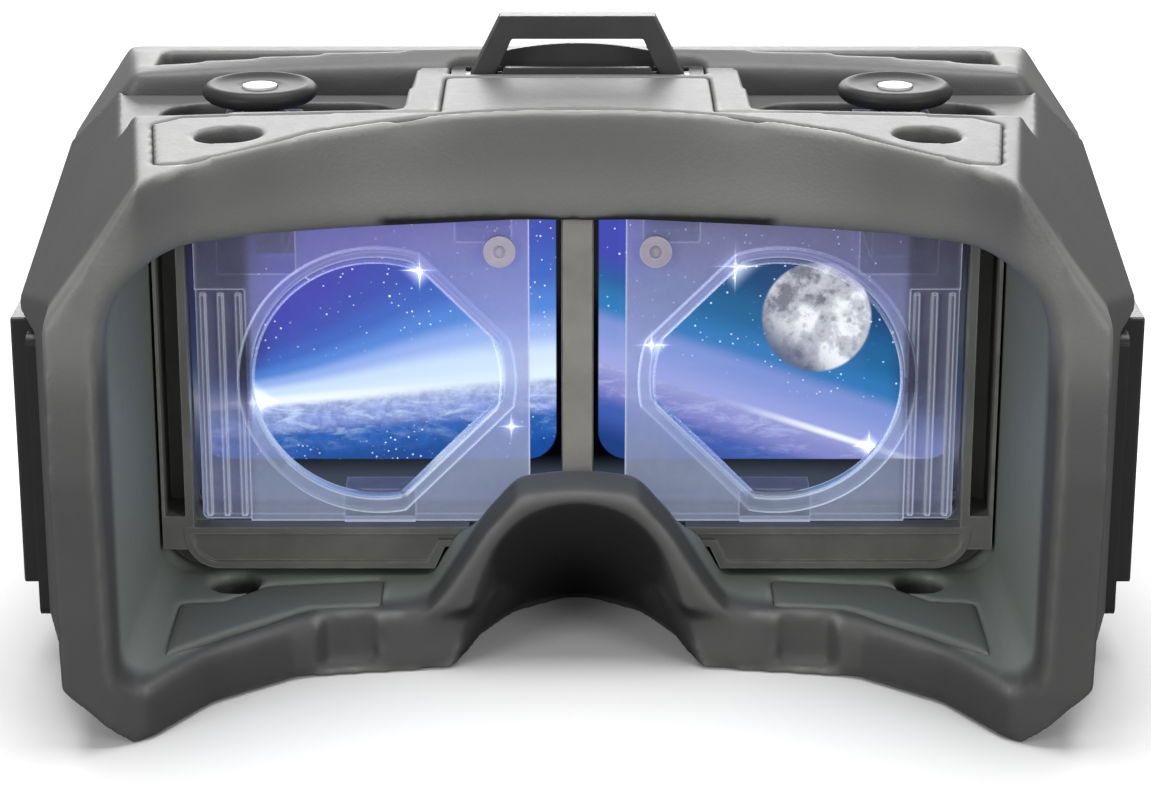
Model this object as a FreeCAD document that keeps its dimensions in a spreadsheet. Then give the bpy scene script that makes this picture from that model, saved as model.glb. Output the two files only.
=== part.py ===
"""Soft foam viewing goggles that hold a phone: a parametric document of named sub-parts.

Frame: millimetres, +Z up, +X to the wearer's right, +Y forwards. The face side looks along -Y,
the goggles stand on Z = 0, and X = 0 is the plane of symmetry.
"""
import math
import os
import re

import FreeCAD
import Part
import Sketcher

from FreeCAD import Placement, Rotation, Vector

# Driving dimensions, in millimetres and degrees.
DIMENSIONS = {
    # foam shell
    "half_width": 98,
    "height": 100,
    "crown": 2,
    "overcut": 12,
    "crown_reach": 88,
    "rear": -61,
    "front": 61,
    "toe_width": 77,
    "toe_rise": 21,
    "flare_width": 88,
    "flare_rear": -50,
    "flare_front": -19,
    "facet_top_rear": 69.8,
    "facet_top_front": 85.9,
    "facet_side_rear": 62.6,
    "facet_side_front": 84,
    "seam": 30.8,
    "seam_width": 84.3,
    "seam_side": 48.5,
    # face side
    "cavity_width": 77,
    "cavity_rear_width": 79,
    "cavity_floor": 12,
    "cavity_roof": 79.2,
    "cavity_rear_roof": 88,
    "groove_inner": 35,
    "groove_outer": 47.5,
    "groove_flank": 2.5,
    "groove_floor": 1.5,
    "ridge_height": 35,
    "ridge_rear": -22.5,
    "ridge_front": -9,
    # light box and chassis
    "gap": 0.2,
    "chassis_width": 76.5,
    "chassis_floor": 12.5,
    "chassis_roof": 85,
    "chassis_rear": -1,
    "chassis_front": 7,
    "window_width": 70.3,
    "window_floor": 21,
    "window_roof": 82.2,
    "box_width": 72,
    "box_floor": 12.8,
    "post_inner": 70.6,
    "post_depth": 4,
    "channel_inner": 72.2,
    "channel_outer": 75.9,
    "apron_inner": 24.4,
    "apron_tip": 20,
    "apron_shoulder": 17.6,
    "apron_outer": 72.5,
    "apron_corner": 6.6,
    "apron_rise": 0.8,
    "apron_depth": 3.2,
    "bead": 1.3,
    "bead_depth": 4.1,
    "divider_half": 2.6,
    "web_half": 1.4,
    "tab_half": 3,
    # phone bay
    "bay_width": 80,
    "bay_floor": 6.6,
    "bay_rear": 38,
    "crest": 102.8,
    "crest_side": 98.6,
    "crest_reach": 84,
    "wall_top": 97.6,
    "bay_front": 54,
    "cover_inner": 22,
    "cover_outer": 62,
    "cover_low": 40,
    "cover_high": 70,
    "cover_corner": 6,
    "phone_width": 78,
    "phone_rear": 40.2,
    "phone_thick": 8.6,
    "phone_floor": 8.6,
    "phone_height": 76,
    # lens carriers
    "eye": 36.3,
    "eye_height": 50,
    "lens_radius": 23,
    "lens_curve": 80,
    "upper_flat": 20.3,
    "lower_flat": 18.7,
    "ring_width": 2.4,
    "ring_lip": 0.8,
    "carrier_inner": 8.7,
    "carrier_outer": 69,
    "carrier_floor": 22.7,
    "carrier_roof": 81.5,
    "carrier_rear": -5,
    "carrier_front": -1.5,
    "rail_inner": 60,
    "rib_pitch": 3.2,
    "rib_width": 0.9,
    "screw_place": 14,
    "screw_height": 74.5,
    "screw_head": 2.9,
    "screw_shank": 1.15,
    "rod_radius": 1.5,
    "rod_place": 3,
    "rod_reach": 71.8,
    "rod_upper": 79.4,
    "rod_lower": 24.4,
    "running": 0.05,
    # buttons
    "recess_rear": -1.5,
    "recess_inner": 29,
    "recess_floor": 94.5,
    "knob": 58,
    "knob_place": 15.5,
    "knob_radius": 10.5,
    "knob_base": 96.9,
    "knob_top": 100.5,
    "cap_radius": 3.1,
    "stem_radius": 4,
    "slot_inner": 33,
    "slot_outer": 76,
    "slot_half": 9,
    "block_half": 7,
    "block_roof": 93.5,
    "spring_radius": 4.9,
    "spring_pitch": 2,
    "spring_height": 6.6,
    "wire_radius": 0.4,
    "lever_roof": 77.1,
    "pivot_place": 27.5,
    "pivot_height": 74,
    "pin_radius": 1,
    "lever_half": 3.6,
    # vents and panels
    "vent_radius": 6.1,
    "vent": 60.5,
    "vent_place": -18.3,
    "floor_vent_radius": 4.6,
    "floor_vent": 63.1,
    "floor_vent_place": -8,
    "panel": 2.5,
    # straps
    "loop_place": 29.5,
    "loop_pivot": 98,
    "loop_top": 110.2,
    "loop_bar": 4.35,
    "loop_half": 2,
    "loop_top_width": 14.4,
    "loop_top_inner": 12.2,
    "loop_foot_width": 20,
    "loop_foot_inner": 15.2,
    "back_width": 14.3,
    "back_rise": 2.4,
    "base_width": 23.5,
    "base_half": 4.2,
    "base_floor": 91,
    "strap_pin_radius": 1.25,
    "side_floor": 15,
    "side_roof": 67,
    "side_rear": -33,
    "side_bar_rear": -19,
    "side_front": 1,
    "side_seat": 91.5,
    "side_face": 95,
    "side_pin": 97.65,
    "side_outer": 100,
}

doc = FreeCAD.newDocument("Goggles")
sheet = doc.addObject("Spreadsheet::Sheet", "Dims")
for row, (alias, size) in enumerate(DIMENSIONS.items(), start=1):
    sheet.set(f"A{row}", alias)
    sheet.set(f"B{row}", str(size))
    sheet.setAlias(f"B{row}", alias)
doc.recompute()

FINISHED = []


# ---------------------------------------------------------------- helpers
def bound(text):
    """Turn plain dimension names into references to the sheet."""
    def refer(name):
        return "Dims." + name[0] if name[0] in DIMENSIONS else name[0]

    return re.sub(r"[a-z][a-z_]*", refer, str(text))


def value(text):
    return float(sheet.evalExpression(bound(text)))


def bind(thing, **properties):
    """Bind properties to expressions; a double underscore stands for a dot."""
    for name, text in properties.items():
        thing.setExpression(name.replace("__", "."), bound(text))


def finish(thing, label):
    """Give a finished sub-part its name and queue it for export."""
    thing.Label = label
    FINISHED.append(thing)
    return thing


def minus(text):
    return f"-({text})"


def both_sides(points):
    """Close a right-hand outline that starts and ends on X = 0 with its mirror image."""
    outline = list(points)
    outline[-1] = outline[-1][:2] + tuple(points[-2][2:])
    for index in range(len(points) - 2, 0, -1):
        x, y = points[index][:2]
        outline.append((minus(x), y) + tuple(points[index - 1][2:]))
    return outline


def rectangle(left, right, low, high, radius=None):
    """An outline with square corners, or with corners rounded to a radius."""
    if radius is None:
        return [(left, low), (right, low), (right, high), (left, high)]
    inner = (f"{left} + {radius}", f"{right} - ({radius})", f"{low} + {radius}", f"{high} - ({radius})")
    return [
        (inner[0], low), (inner[1], low, radius), (right, inner[2]), (right, inner[3], radius),
        (inner[1], high), (inner[0], high, radius), (left, inner[3]), (left, inner[2], radius),
    ]


def draw(sketch, points):
    """Draw a closed outline. A point's third item is the radius of the arc that leaves it."""
    places = [Vector(value(point[0]), value(point[1]), 0) for point in points]
    edges = []
    for index, point in enumerate(points):
        start = places[index]
        end = places[(index + 1) % len(points)]
        if len(point) == 2:
            edges.append((sketch.addGeometry(Part.LineSegment(start, end)), 1, 2))
            continue
        radius = value(point[2])
        chord = end - start
        sagitta = abs(radius) - math.sqrt(radius ** 2 - (chord.Length / 2) ** 2)
        outward = Vector(chord.y, -chord.x, 0).normalize() * math.copysign(sagitta, radius)
        middle = (start + end) / 2 + outward
        if radius > 0:
            edges.append((sketch.addGeometry(Part.Arc(start, middle, end)), 1, 2))
        else:
            edges.append((sketch.addGeometry(Part.Arc(end, middle, start)), 2, 1))
    for index, point in enumerate(points):
        geometry, first, last = edges[index]
        following, follow_first, _ = edges[(index + 1) % len(points)]
        sketch.addConstraint(Sketcher.Constraint("Coincident", geometry, last, following, follow_first))
        for kind, coordinate in (("DistanceX", point[0]), ("DistanceY", point[1])):
            rule = sketch.addConstraint(Sketcher.Constraint(kind, -1, 1, geometry, first, value(coordinate)))
            sketch.setExpression(f"Constraints[{rule}]", bound(coordinate))
        if len(point) == 3:
            rule = sketch.addConstraint(Sketcher.Constraint("Radius", geometry, abs(value(point[2]))))
            sketch.setExpression(f"Constraints[{rule}]", f"abs({bound(point[2])})")


def draw_circle(sketch, x, y, radius):
    circle = sketch.addGeometry(Part.Circle(Vector(value(x), value(y), 0), Vector(0, 0, 1), value(radius)))
    for kind, coordinate in (("DistanceX", x), ("DistanceY", y)):
        rule = sketch.addConstraint(Sketcher.Constraint(kind, -1, 1, circle, 3, value(coordinate)))
        sketch.setExpression(f"Constraints[{rule}]", bound(coordinate))
    rule = sketch.addConstraint(Sketcher.Constraint("Radius", circle, value(radius)))
    sketch.setExpression(f"Constraints[{rule}]", bound(radius))


def new_body(name):
    return doc.addObject("PartDesign::Body", name)


NORMAL_SIGN = {"XY": 1, "XZ": -1, "YZ": 1}


def new_sketch(body, plane, outlines, start="0"):
    """A sketch on one of the body's origin planes, moved along that plane's axis to start."""
    sketch = body.newObject("Sketcher::SketchObject", f"{body.Name}_sketch")
    origin_plane = next(item for item in body.Origin.OriginFeatures if item.Role == f"{plane}_Plane")
    sketch.AttachmentSupport = [(origin_plane, "")]
    sketch.MapMode = "FlatFace"
    sign = NORMAL_SIGN[plane]
    bind(sketch, AttachmentOffset__Base__z=start if sign > 0 else minus(start))
    for outline in outlines:
        if isinstance(outline, tuple):
            draw_circle(sketch, *outline)
        else:
            draw(sketch, outline)
    sketch.Visibility = False
    return sketch


def extrude(body, kind, plane, outlines, start, end):
    """Pad or pocket outlines from start to end along the plane's axis."""
    sketch = new_sketch(body, plane, outlines, start)
    feature = body.newObject(f"PartDesign::{kind}", f"{body.Name}_{kind}")
    feature.Profile = sketch
    bind(feature, Length=f"{end} - ({start})")
    feature.Reversed = (NORMAL_SIGN[plane] < 0) == (kind == "Pad")
    doc.recompute()
    return feature


def loft(body, kind, plane, sections):
    """Add or remove a ruled loft through outlines at places along the plane's axis."""
    sketches = [new_sketch(body, plane, [outline], place) for place, outline in sections]
    feature = body.newObject(f"PartDesign::{kind}Loft", f"{body.Name}_loft")
    feature.Profile = sketches[0]
    feature.Sections = sketches[1:]
    feature.Ruled = True
    doc.recompute()
    return feature


def spun(name, profile, x, y, z):
    """A turned piece: an outline of radius and height spun about an upright axis."""
    body = new_body(name)
    sketch = new_sketch(body, "XZ", [profile])
    feature = body.newObject("PartDesign::Revolution", f"{name}_turn")
    feature.Profile = sketch
    feature.ReferenceAxis = (sketch, ["V_Axis"])
    feature.Angle = 360
    bind(body, Placement__Base__x=x, Placement__Base__y=y, Placement__Base__z=z)
    doc.recompute()
    return body


def box(name, left, right, rear, front, low, high):
    solid = doc.addObject("Part::Box", name)
    bind(solid, Length=f"{right} - ({left})", Width=f"{front} - ({rear})", Height=f"{high} - ({low})")
    bind(solid, Placement__Base__x=left, Placement__Base__y=rear, Placement__Base__z=low)
    return solid


AXES = {
    "x": Rotation(Vector(0, 1, 0), 90),
    "y": Rotation(Vector(1, 0, 0), -90),
    "z": Rotation(),
}


def rod(name, axis, x, y, z, radius, length):
    """A cylinder that starts at a point and runs along a positive axis."""
    solid = doc.addObject("Part::Cylinder", name)
    solid.Placement = Placement(Vector(), AXES[axis])
    bind(solid, Radius=radius, Height=length, Placement__Base__x=x, Placement__Base__y=y,
         Placement__Base__z=z)
    return solid


def cut(name, base, tool):
    solid = doc.addObject("Part::Cut", name)
    solid.Base = base
    solid.Tool = tool
    return solid


def cut_all(name, base, tools):
    for index, tool in enumerate(tools, start=1):
        base = cut(f"{name}_{index}", base, tool)
    return base


def fuse(name, pieces):
    solid = doc.addObject("Part::MultiFuse", name)
    solid.Shapes = pieces
    return solid


def mirrored(label, source):
    """The left-hand piece: the right-hand one mirrored in X = 0."""
    solid = doc.addObject("Part::Mirroring", label)
    solid.Source = source
    solid.Base = (0, 0, 0)
    solid.Normal = (1, 0, 0)
    return finish(solid, label)


def pair(name, source):
    """Finish a right-hand piece and make its left-hand twin."""
    finish(source, f"right_{name}")
    mirrored(f"left_{name}", source)


# ---------------------------------------------------------------- foam shell
def side_outline():
    """Front view of the shell: flat foot, chamfered toes, upright sides and a crowned top."""
    crown_radius = "(crown_reach^2 + crown^2) / (2 * crown)"
    return [
        (minus("toe_width"), "0"), ("toe_width", "0"), ("half_width", "toe_rise"),
        ("half_width", "height - crown"), ("crown_reach", "height - crown", crown_radius),
        (minus("crown_reach"), "height - crown"), (minus("half_width"), "height - crown"),
        (minus("half_width"), "toe_rise"),
    ]


def facet_outline(side, top, wall):
    """The corner removed by an upper side facet, at one place along Y."""
    points = [(top, "height"), (wall[0], wall[1]), ("half_width + overcut", wall[1]),
              ("half_width + overcut", "height + overcut"), (top, "height + overcut")]
    return points if side > 0 else [(minus(x), z) for x, z in points]


def cut_facets(body, extra="0"):
    """Slope the shell's upper side corners; extra turns the front housing's facet down a little."""
    for side in (1, -1):
        rear = facet_outline(side, "facet_top_rear", ("half_width", f"facet_side_rear - {extra}"))
        front = facet_outline(side, "facet_top_front", ("half_width", f"facet_side_front - {extra}"))
        loft(body, "Subtractive", "XZ", [("rear - 1", rear), ("front + 1", front)])


def face_outline(middle, brow, cheek, temple, edge, outer_edge):
    """Plan of the space that the face fills: a broad arc, then out to the temples."""
    x, y = brow
    radius = f"(({x})^2 + (({middle}) - ({y}))^2) / (2 * (({middle}) - ({y})))"
    right = [(x, y), cheek, temple, edge, ("half_width + overcut", outer_edge),
             ("half_width + overcut", "rear - 40")]
    left = [(minus(px), py) for px, py in reversed(right)]
    return [(left[-1][0], left[-1][1], minus(radius))] + right + left[:-1]


def cavity_outline(width, low, roof, corner):
    """Section of the face cavity: tight corners at the floor, broad ones under the brow."""
    right = [("0", low), (f"{width} - 5", low, "5"), (width, f"{low} + 5"),
             (width, f"{roof} - {corner}", corner),
             (f"{width} - {corner}", roof), ("0", roof)]
    return both_sides(right)


# Place along Y, half-width at the foot, half-width and height of the flanks, and height of the crown.
NOSE_ARCHES = [
    (-62, 31.5, 24, 22, 39),
    (-22.5, 23.2, 16.3, 20, 32.4),
    (-6, 19, 13.5, 11.4, 17),
    (6, 13.2, 9, 4.2, 7),
    (14, 3, 2, -1, -0.5),
]


def nose_arch(foot, flank, shoulder, crown):
    """Front view of the nose saddle at one place: leaning flanks under a round crown."""
    rise = crown - shoulder
    radius = (flank ** 2 + rise ** 2) / (2 * rise)
    return [(-foot, -2), (foot, -2), (flank, shoulder, radius), (-flank, shoulder)]


def cut_nose(body):
    """A saddle for the nose that shrinks and sinks as it runs forwards under the floor."""
    for rear, front in zip(NOSE_ARCHES, NOSE_ARCHES[1:]):
        loft(body, "Subtractive", "XZ", [(str(place), nose_arch(*arch)) for place, *arch in (rear, front)])


def add_nose_hump(body):
    """The wall over the nose saddle: tall at the rear, stepping down to pass under the chassis."""
    tall = both_sides([("0", "11"), ("27.5", "11"), ("23", "17.5"), ("16.5", "27.5"), ("10.5", "ridge_height - 1"),
                       ("0", "ridge_height")])
    low = both_sides([("0", "11"), ("27.5", "11"), ("22.5", "20"), ("17", "24"), ("0", "24")])
    extrude(body, "Pad", "XZ", [tall], "ridge_rear", "ridge_front")
    extrude(body, "Pad", "XZ", [low], "ridge_front", "chassis_rear - gap")
    extrude(body, "Pad", "XZ", [nose_step()], "chassis_rear - gap", "chassis_front + gap")


def nose_step():
    """Section of the low step that carries the nose saddle under the chassis."""
    return both_sides([("0", "11"), ("27", "11"), ("24", "17"), ("0", "17")])


def cut_chassis_seat(body):
    """The seat of the chassis in the foam, with the nose step put back in its floor."""
    seat = rectangle(minus("chassis_width + gap"), "chassis_width + gap", "chassis_floor - gap",
                     "chassis_roof + gap", "8")
    rear = "chassis_rear - post_depth - gap"
    extrude(body, "Pocket", "XZ", [seat], rear, "chassis_front + gap")
    extrude(body, "Pad", "XZ", [nose_step()], rear, "chassis_front + gap")


def cut_cheek_grooves(body):
    """A square groove across each cheek, open at the face and shallow at its flanks."""
    for side in ("", "-"):
        groove = [(f"{side}groove_inner", "-70"), (f"{side}groove_outer", "-70"),
                  (f"{side}groove_outer", "-25.6"), (f"{side}(groove_outer - groove_flank)", "-22.2"),
                  (f"{side}(groove_inner + groove_flank)", "-21.1"), (f"{side}groove_inner", "-23.6")]
        extrude(body, "Pocket", "XY", [groove], "groove_floor", "cavity_floor + 4")


def make_foam_body():
    body = new_body("FoamBody")
    extrude(body, "Pad", "XZ", [side_outline()], "rear - 3", "seam_side")
    cheeks = face_outline("-21", ("50", "-26"), ("64", "-37"), ("73", "-52"), ("80", "-56"), "-57")
    temples = face_outline("-13", ("52", "-26"), ("65", "-42"), ("73", "-57"), ("80", "rear"), "rear")
    brow = face_outline("-5", ("52", "-25.3"), ("66", "-39.5"), ("72", "-51"), ("80", "-56"), "-57")
    loft(body, "Subtractive", "XY", [("-1", cheeks), ("height / 2", temples)])
    loft(body, "Subtractive", "XY", [("height / 2", temples), ("height + 1", brow)])
    flare = [("flare_width", "rear - 5"), ("half_width + overcut", "rear - 5"),
             ("half_width + overcut", "flare_front"),
             ("half_width", "flare_front"), ("flare_width", "flare_rear")]
    seam_edge = "seam_side + (seam_side - seam) / (half_width - seam_width) - gap / 10"
    beyond = [("seam_width", "seam"), ("half_width + 1", seam_edge), ("half_width + 1", "front"),
              (minus("half_width + 1"), "front"), (minus("half_width + 1"), seam_edge),
              (minus("seam_width"), "seam")]
    left_flare = [(minus(x), y) for x, y in flare]
    extrude(body, "Pocket", "XY", [flare, left_flare, beyond], "-1", "height + 1")
    cut_facets(body)
    loft(body, "Subtractive", "XZ", [
        ("rear - 1", cavity_outline("cavity_rear_width", "cavity_floor - 2", "cavity_rear_roof", "16")),
        ("chassis_rear", cavity_outline("cavity_width", "cavity_floor", "cavity_roof", "8")),
    ])
    add_nose_hump(body)
    cut_chassis_seat(body)
    light_box = rectangle(minus("box_width"), "box_width", "box_floor", "window_roof", "6")
    extrude(body, "Pocket", "XZ", [light_box], "chassis_front", "seam + 1")
    cut_nose(body)
    cut_cheek_grooves(body)
    cut_button_recess(body)
    cut_vents(body)
    cut_floor_seats(body)
    seat_panel = top_panel_outline("gap")
    extrude(body, "Pocket", "XY", [seat_panel], "height - panel - crown", "height + 1")
    cut_loop_seat(body, "loop_place - base_half - gap", "seam + 1")
    cut_side_seats(body)
    return finish(body, "foam_body")


def cut_button_recess(body):
    """Two open-ended recesses for the buttons, each with a long slot through to the light box."""
    for side in ("", "-"):
        recess = [(f"{side}(recess_inner + 2.5)", "recess_rear"), (f"{side}(half_width + 2)", "recess_rear"),
                  (f"{side}(half_width + 2)", "seam_side"), (f"{side}recess_inner", "seam_side")]
        extrude(body, "Pocket", "XY", [recess], "recess_floor", "height + 1")
        slot = rectangle("slot_inner", "slot_outer", "knob_place - slot_half", "knob_place + slot_half",
                         "8.5")
        if side:
            slot = [(minus(point[0]), point[1]) + tuple(minus(r) for r in point[2:]) for point in slot]
        extrude(body, "Pocket", "XY", [slot], "chassis_roof - 6", "recess_floor + 1")


def cut_vents(body):
    """A vent through the brow on each side."""
    holes = [(x, "vent_place", "vent_radius") for x in ("vent", minus("vent"))]
    extrude(body, "Pocket", "XY", holes, "cavity_roof - 5", "height + 1")


def floor_panel_outline(grow):
    """Plan of one panel let into the cavity floor, between the vent and the cheek edge."""
    return [
        (f"36 - {grow}", f"-6 + {grow}"), (f"36 - {grow}", f"-17.8 - {grow}"), ("49", f"-19 - {grow}"),
        (f"62 + {grow} / 2", f"-30 - {grow}"), (f"72 + {grow}", f"-40 - {grow}"),
        (f"72 + {grow}", f"-17.2 + {grow}"),
        (f"64 + {grow}", f"-16.2 + {grow}"), (f"57 + {grow}", f"-8.6 + {grow}"),
    ]


def cut_floor_seats(body):
    """Through the floor on each side: a small vent beside the shallow seat of its panel."""
    holes = [(x, "floor_vent_place", "floor_vent_radius") for x in ("floor_vent", minus("floor_vent"))]
    extrude(body, "Pocket", "XY", holes, "-1", "cavity_floor + 1")
    right = floor_panel_outline("gap")
    left = [(minus(x), y) for x, y in right]
    extrude(body, "Pocket", "XY", [right, left], "cavity_floor - 3", "cavity_floor + 1")


def top_panel_outline(grow):
    """Plan of the panel let into the top: it follows the brow and stops short of the recesses."""
    return both_sides([
        ("0", f"-2.8 - {grow}", "-80.4"), ("46.5", f"-17.6 - {grow}"), ("57.4", f"-29.3 - {grow}"),
        (f"66.5 + {grow}", f"-37.3 - {grow}"), (f"70.8 + {grow}", f"-37.3 - {grow}"),
        (f"74.5 + {grow}", f"-9 + {grow}"), (f"70 + {grow}", f"recess_rear - 3 + {grow}"),
        (f"24 + {grow}", f"recess_rear - 3 + {grow}"), (f"24 + {grow}", f"22 + {grow}"),
        ("0", f"22 + {grow}"),
    ])


def make_top_panel():
    body = new_body("TopPanel")
    extrude(body, "Pad", "XZ", [side_outline()], "rear", "seam_side")
    around = [("-120", "-80"), ("120", "-80"), ("120", "80"), ("-120", "80")]
    extrude(body, "Pocket", "XY", [around, top_panel_outline("0")], "-1", "height + 1")
    extrude(body, "Pocket", "XY", [around], "-1", "height - panel - crown")
    cut_vents(body)
    return finish(body, "top_panel")


def cut_loop_seat(body, rear, front):
    """The pocket in the top that holds the base of the strap loop."""
    seat = rectangle(minus("base_width + gap"), "base_width + gap", rear, front)
    extrude(body, "Pocket", "XY", [seat], "base_floor - gap", "crest + 1")


def cut_side_seats(body):
    """A pocket in each side for the strap plate."""
    for side in ("", "-"):
        low, high = "side_floor - gap", "side_roof + gap"
        seat = rectangle("side_rear - gap", "side_front + gap", low, high)
        start, end = ("side_seat", "half_width + 1") if not side else (minus("half_width + 1"),
                                                                       minus("side_seat"))
        extrude(body, "Pocket", "YZ", [seat], start, end)


def make_floor_panels():
    """Two panels let into the cavity floor, one under each cheek."""
    body = new_body("FloorPanel")
    extrude(body, "Pad", "XY", [floor_panel_outline("0")], "cavity_floor - 2.95", "cavity_floor - 0.6")
    pair("floor_panel", body)


def crest_outline(middle, end):
    """Section of the lip behind the phone slot: an arch that is highest in the middle."""
    rise = f"({middle} - ({end}))"
    return [(minus("crest_reach"), "height - 8"), ("crest_reach", "height - 8"),
            ("crest_reach", end, f"(crest_reach^2 + {rise}^2) / (2 * {rise})"), (minus("crest_reach"), end)]


def make_front_housing():
    body = new_body("FrontHousing")
    extrude(body, "Pad", "XZ", [side_outline()], "seam", "front")
    loft(body, "Additive", "XZ", [("seam", crest_outline("height", "height - crown * 0.91")),
                                  ("bay_rear", crest_outline("crest", "crest_side"))])
    above = [("-120", "wall_top"), ("120", "wall_top"), ("120", "height + 20"), ("-120", "height + 20")]
    extrude(body, "Pocket", "XZ", [above], "bay_front - 1", "front + 1")
    for side in ("", "-"):
        shoulder = [(f"{side}seam_width", "seam"), (f"{side}seam_width", "seam - 1"),
                    (f"{side}(half_width + overcut)", "seam - 1"), (f"{side}(half_width + overcut)", "seam_side"),
                    (f"{side}half_width", "seam_side")]
        nose = [(f"{side}half_width", "front - 7"), (f"{side}(half_width + overcut)", "front - 7"),
                (f"{side}(half_width + overcut)", "front + 1"), (f"{side}(half_width - 10)", "front + 1"),
                (f"{side}(half_width - 10)", "front")]
        extrude(body, "Pocket", "XY", [shoulder, nose], "-1", "height + 1")
    cut_facets(body, "1")
    window = rectangle(minus("box_width"), "box_width", "box_floor", "window_roof", "6")
    extrude(body, "Pocket", "XZ", [window], "seam - 1", "bay_rear + 1")
    bay = rectangle(minus("bay_width"), "bay_width", "bay_rear", "bay_front", "1.5")
    extrude(body, "Pocket", "XY", [bay], "bay_floor", "height + 1")
    cut_loop_seat(body, "seam - 1", "loop_place + base_half + gap")
    cover = rectangle("cover_inner", "cover_outer", "cover_low", "cover_high", "cover_corner")
    extrude(body, "Pocket", "XZ", [cover], "bay_front - 1", "front + 1")
    return finish(body, "front_housing")


def make_camera_cover():
    """A push-in plug over the phone camera's window, with a finger notch under its edge."""
    body = new_body("CameraCover")
    plug = rectangle("cover_inner + gap", "cover_outer - gap", "cover_low + gap", "cover_high - gap",
                     "cover_corner - gap")
    notch = rectangle("cover_inner + 14", "cover_outer - 14", "cover_low", "cover_low + 4", "1.5")
    extrude(body, "Pad", "XZ", [plug], "bay_front + 0.5", "front")
    extrude(body, "Pocket", "XZ", [notch], "front - 3", "front + 1")
    return finish(body, "camera_cover")


# ---------------------------------------------------------------- chassis
def apron_outline(side, inset):
    """Front view of the lip under one eye's window, rounded at its outer lower corner."""
    floor = "chassis_floor + apron_rise"
    low = f"{floor} + {inset}"
    high = f"window_floor + 0.35 - {inset}"
    outer = f"apron_outer - {inset}"
    inner = f"apron_inner + {inset}"
    tip = f"apron_tip + {inset}"
    shoulder = f"apron_shoulder + {inset}"
    points = [(f"{inner} + 2", low), ("apron_outer - apron_corner", low, f"apron_corner - {inset}"),
              (outer, f"{floor} + apron_corner"), (outer, high), (tip, high), (tip, shoulder), (inner, shoulder)]
    if side:
        return [(minus(point[0]),
                 point[1]) + tuple(minus(radius) for radius in point[2:]) for point in points]
    return points


def rod_holes(clearance):
    """The two guide rods' holes, in the YZ plane."""
    return [("rod_place", height, f"rod_radius + {clearance}") for height in ("rod_upper", "rod_lower")]


def make_chassis():
    body = new_body("Chassis")
    ring = rectangle(minus("chassis_width"), "chassis_width", "chassis_floor", "chassis_roof", "7.8")
    window = rectangle(minus("window_width"), "window_width", "window_floor", "window_roof", "4")
    extrude(body, "Pad", "XZ", [ring], "chassis_rear", "chassis_front")
    extrude(body, "Pocket", "XZ", [window], "chassis_rear - 1", "chassis_front + 1")
    saddle = both_sides([("0", "10"), ("27.6", "10"), ("24.3", "17.3"), ("0", "17.3")])
    extrude(body, "Pocket", "XZ", [saddle], "chassis_rear - 1", "chassis_front + 1")
    for side in ("", "-"):
        post = [(f"{side}post_inner", "window_floor - 4"), (f"{side}chassis_width", "window_floor - 4"),
                (f"{side}chassis_width", "74"), (f"{side}post_inner", "76")]
        extrude(body, "Pad", "XZ", [post], "chassis_rear - post_depth", "chassis_rear")
        channel = rectangle(f"{side}channel_inner", f"{side}channel_outer", "window_floor + 2.5", "80")
        extrude(body, "Pocket", "XZ", [channel], "chassis_rear - post_depth - 1", "chassis_front - 2")
        apron = apron_outline(side, "0")
        bead = [apron, apron_outline(side, "bead")]
        extrude(body, "Pad", "XZ", [apron], "chassis_rear - apron_depth", "chassis_rear")
        extrude(body, "Pad", "XZ", bead, "chassis_rear - bead_depth", "chassis_rear - apron_depth")
    extrude(body, "Pocket", "YZ", rod_holes("gap / 10"), minus("rod_reach + gap / 4"), "rod_reach + gap / 4")
    tabs = rectangle(minus("tab_half + gap"), "tab_half + gap", "window_floor - 1.5", "window_roof + 1.2")
    extrude(body, "Pocket", "XZ", [tabs], "chassis_rear + 2", "chassis_front + 1")
    return finish(body, "lens_chassis")


def make_divider():
    """The wall between the eyes: a nose bar in front and a septum that splits the light box."""
    body = new_body("Divider")
    bar = rectangle(minus("divider_half"), "divider_half", "window_floor + 0.1", "window_roof - 0.1")
    web = rectangle(minus("web_half"), "web_half", "box_floor + 0.5", "window_roof - 0.8")
    tabs = rectangle(minus("tab_half"), "tab_half", "window_floor - 1.4", "window_roof + 1.1")
    extrude(body, "Pad", "XZ", [bar], "chassis_rear - bead_depth", "chassis_rear + 4")
    extrude(body, "Pad", "XZ", [tabs], "chassis_rear + 2.1", "chassis_front")
    extrude(body, "Pad", "XZ", [web], "chassis_front", "bay_rear - 1")
    extrude(body, "Pocket", "YZ", rod_holes("running"), "-4", "4")
    return finish(body, "centre_divider")


def make_guide_rods():
    for name, height in (("upper", "rod_upper"), ("lower", "rod_lower")):
        steel = rod(f"Rod_{name}", "x", minus("rod_reach"), "rod_place", height, "rod_radius",
                    "2 * rod_reach")
        finish(steel, f"guide_rod_{name}")


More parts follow.
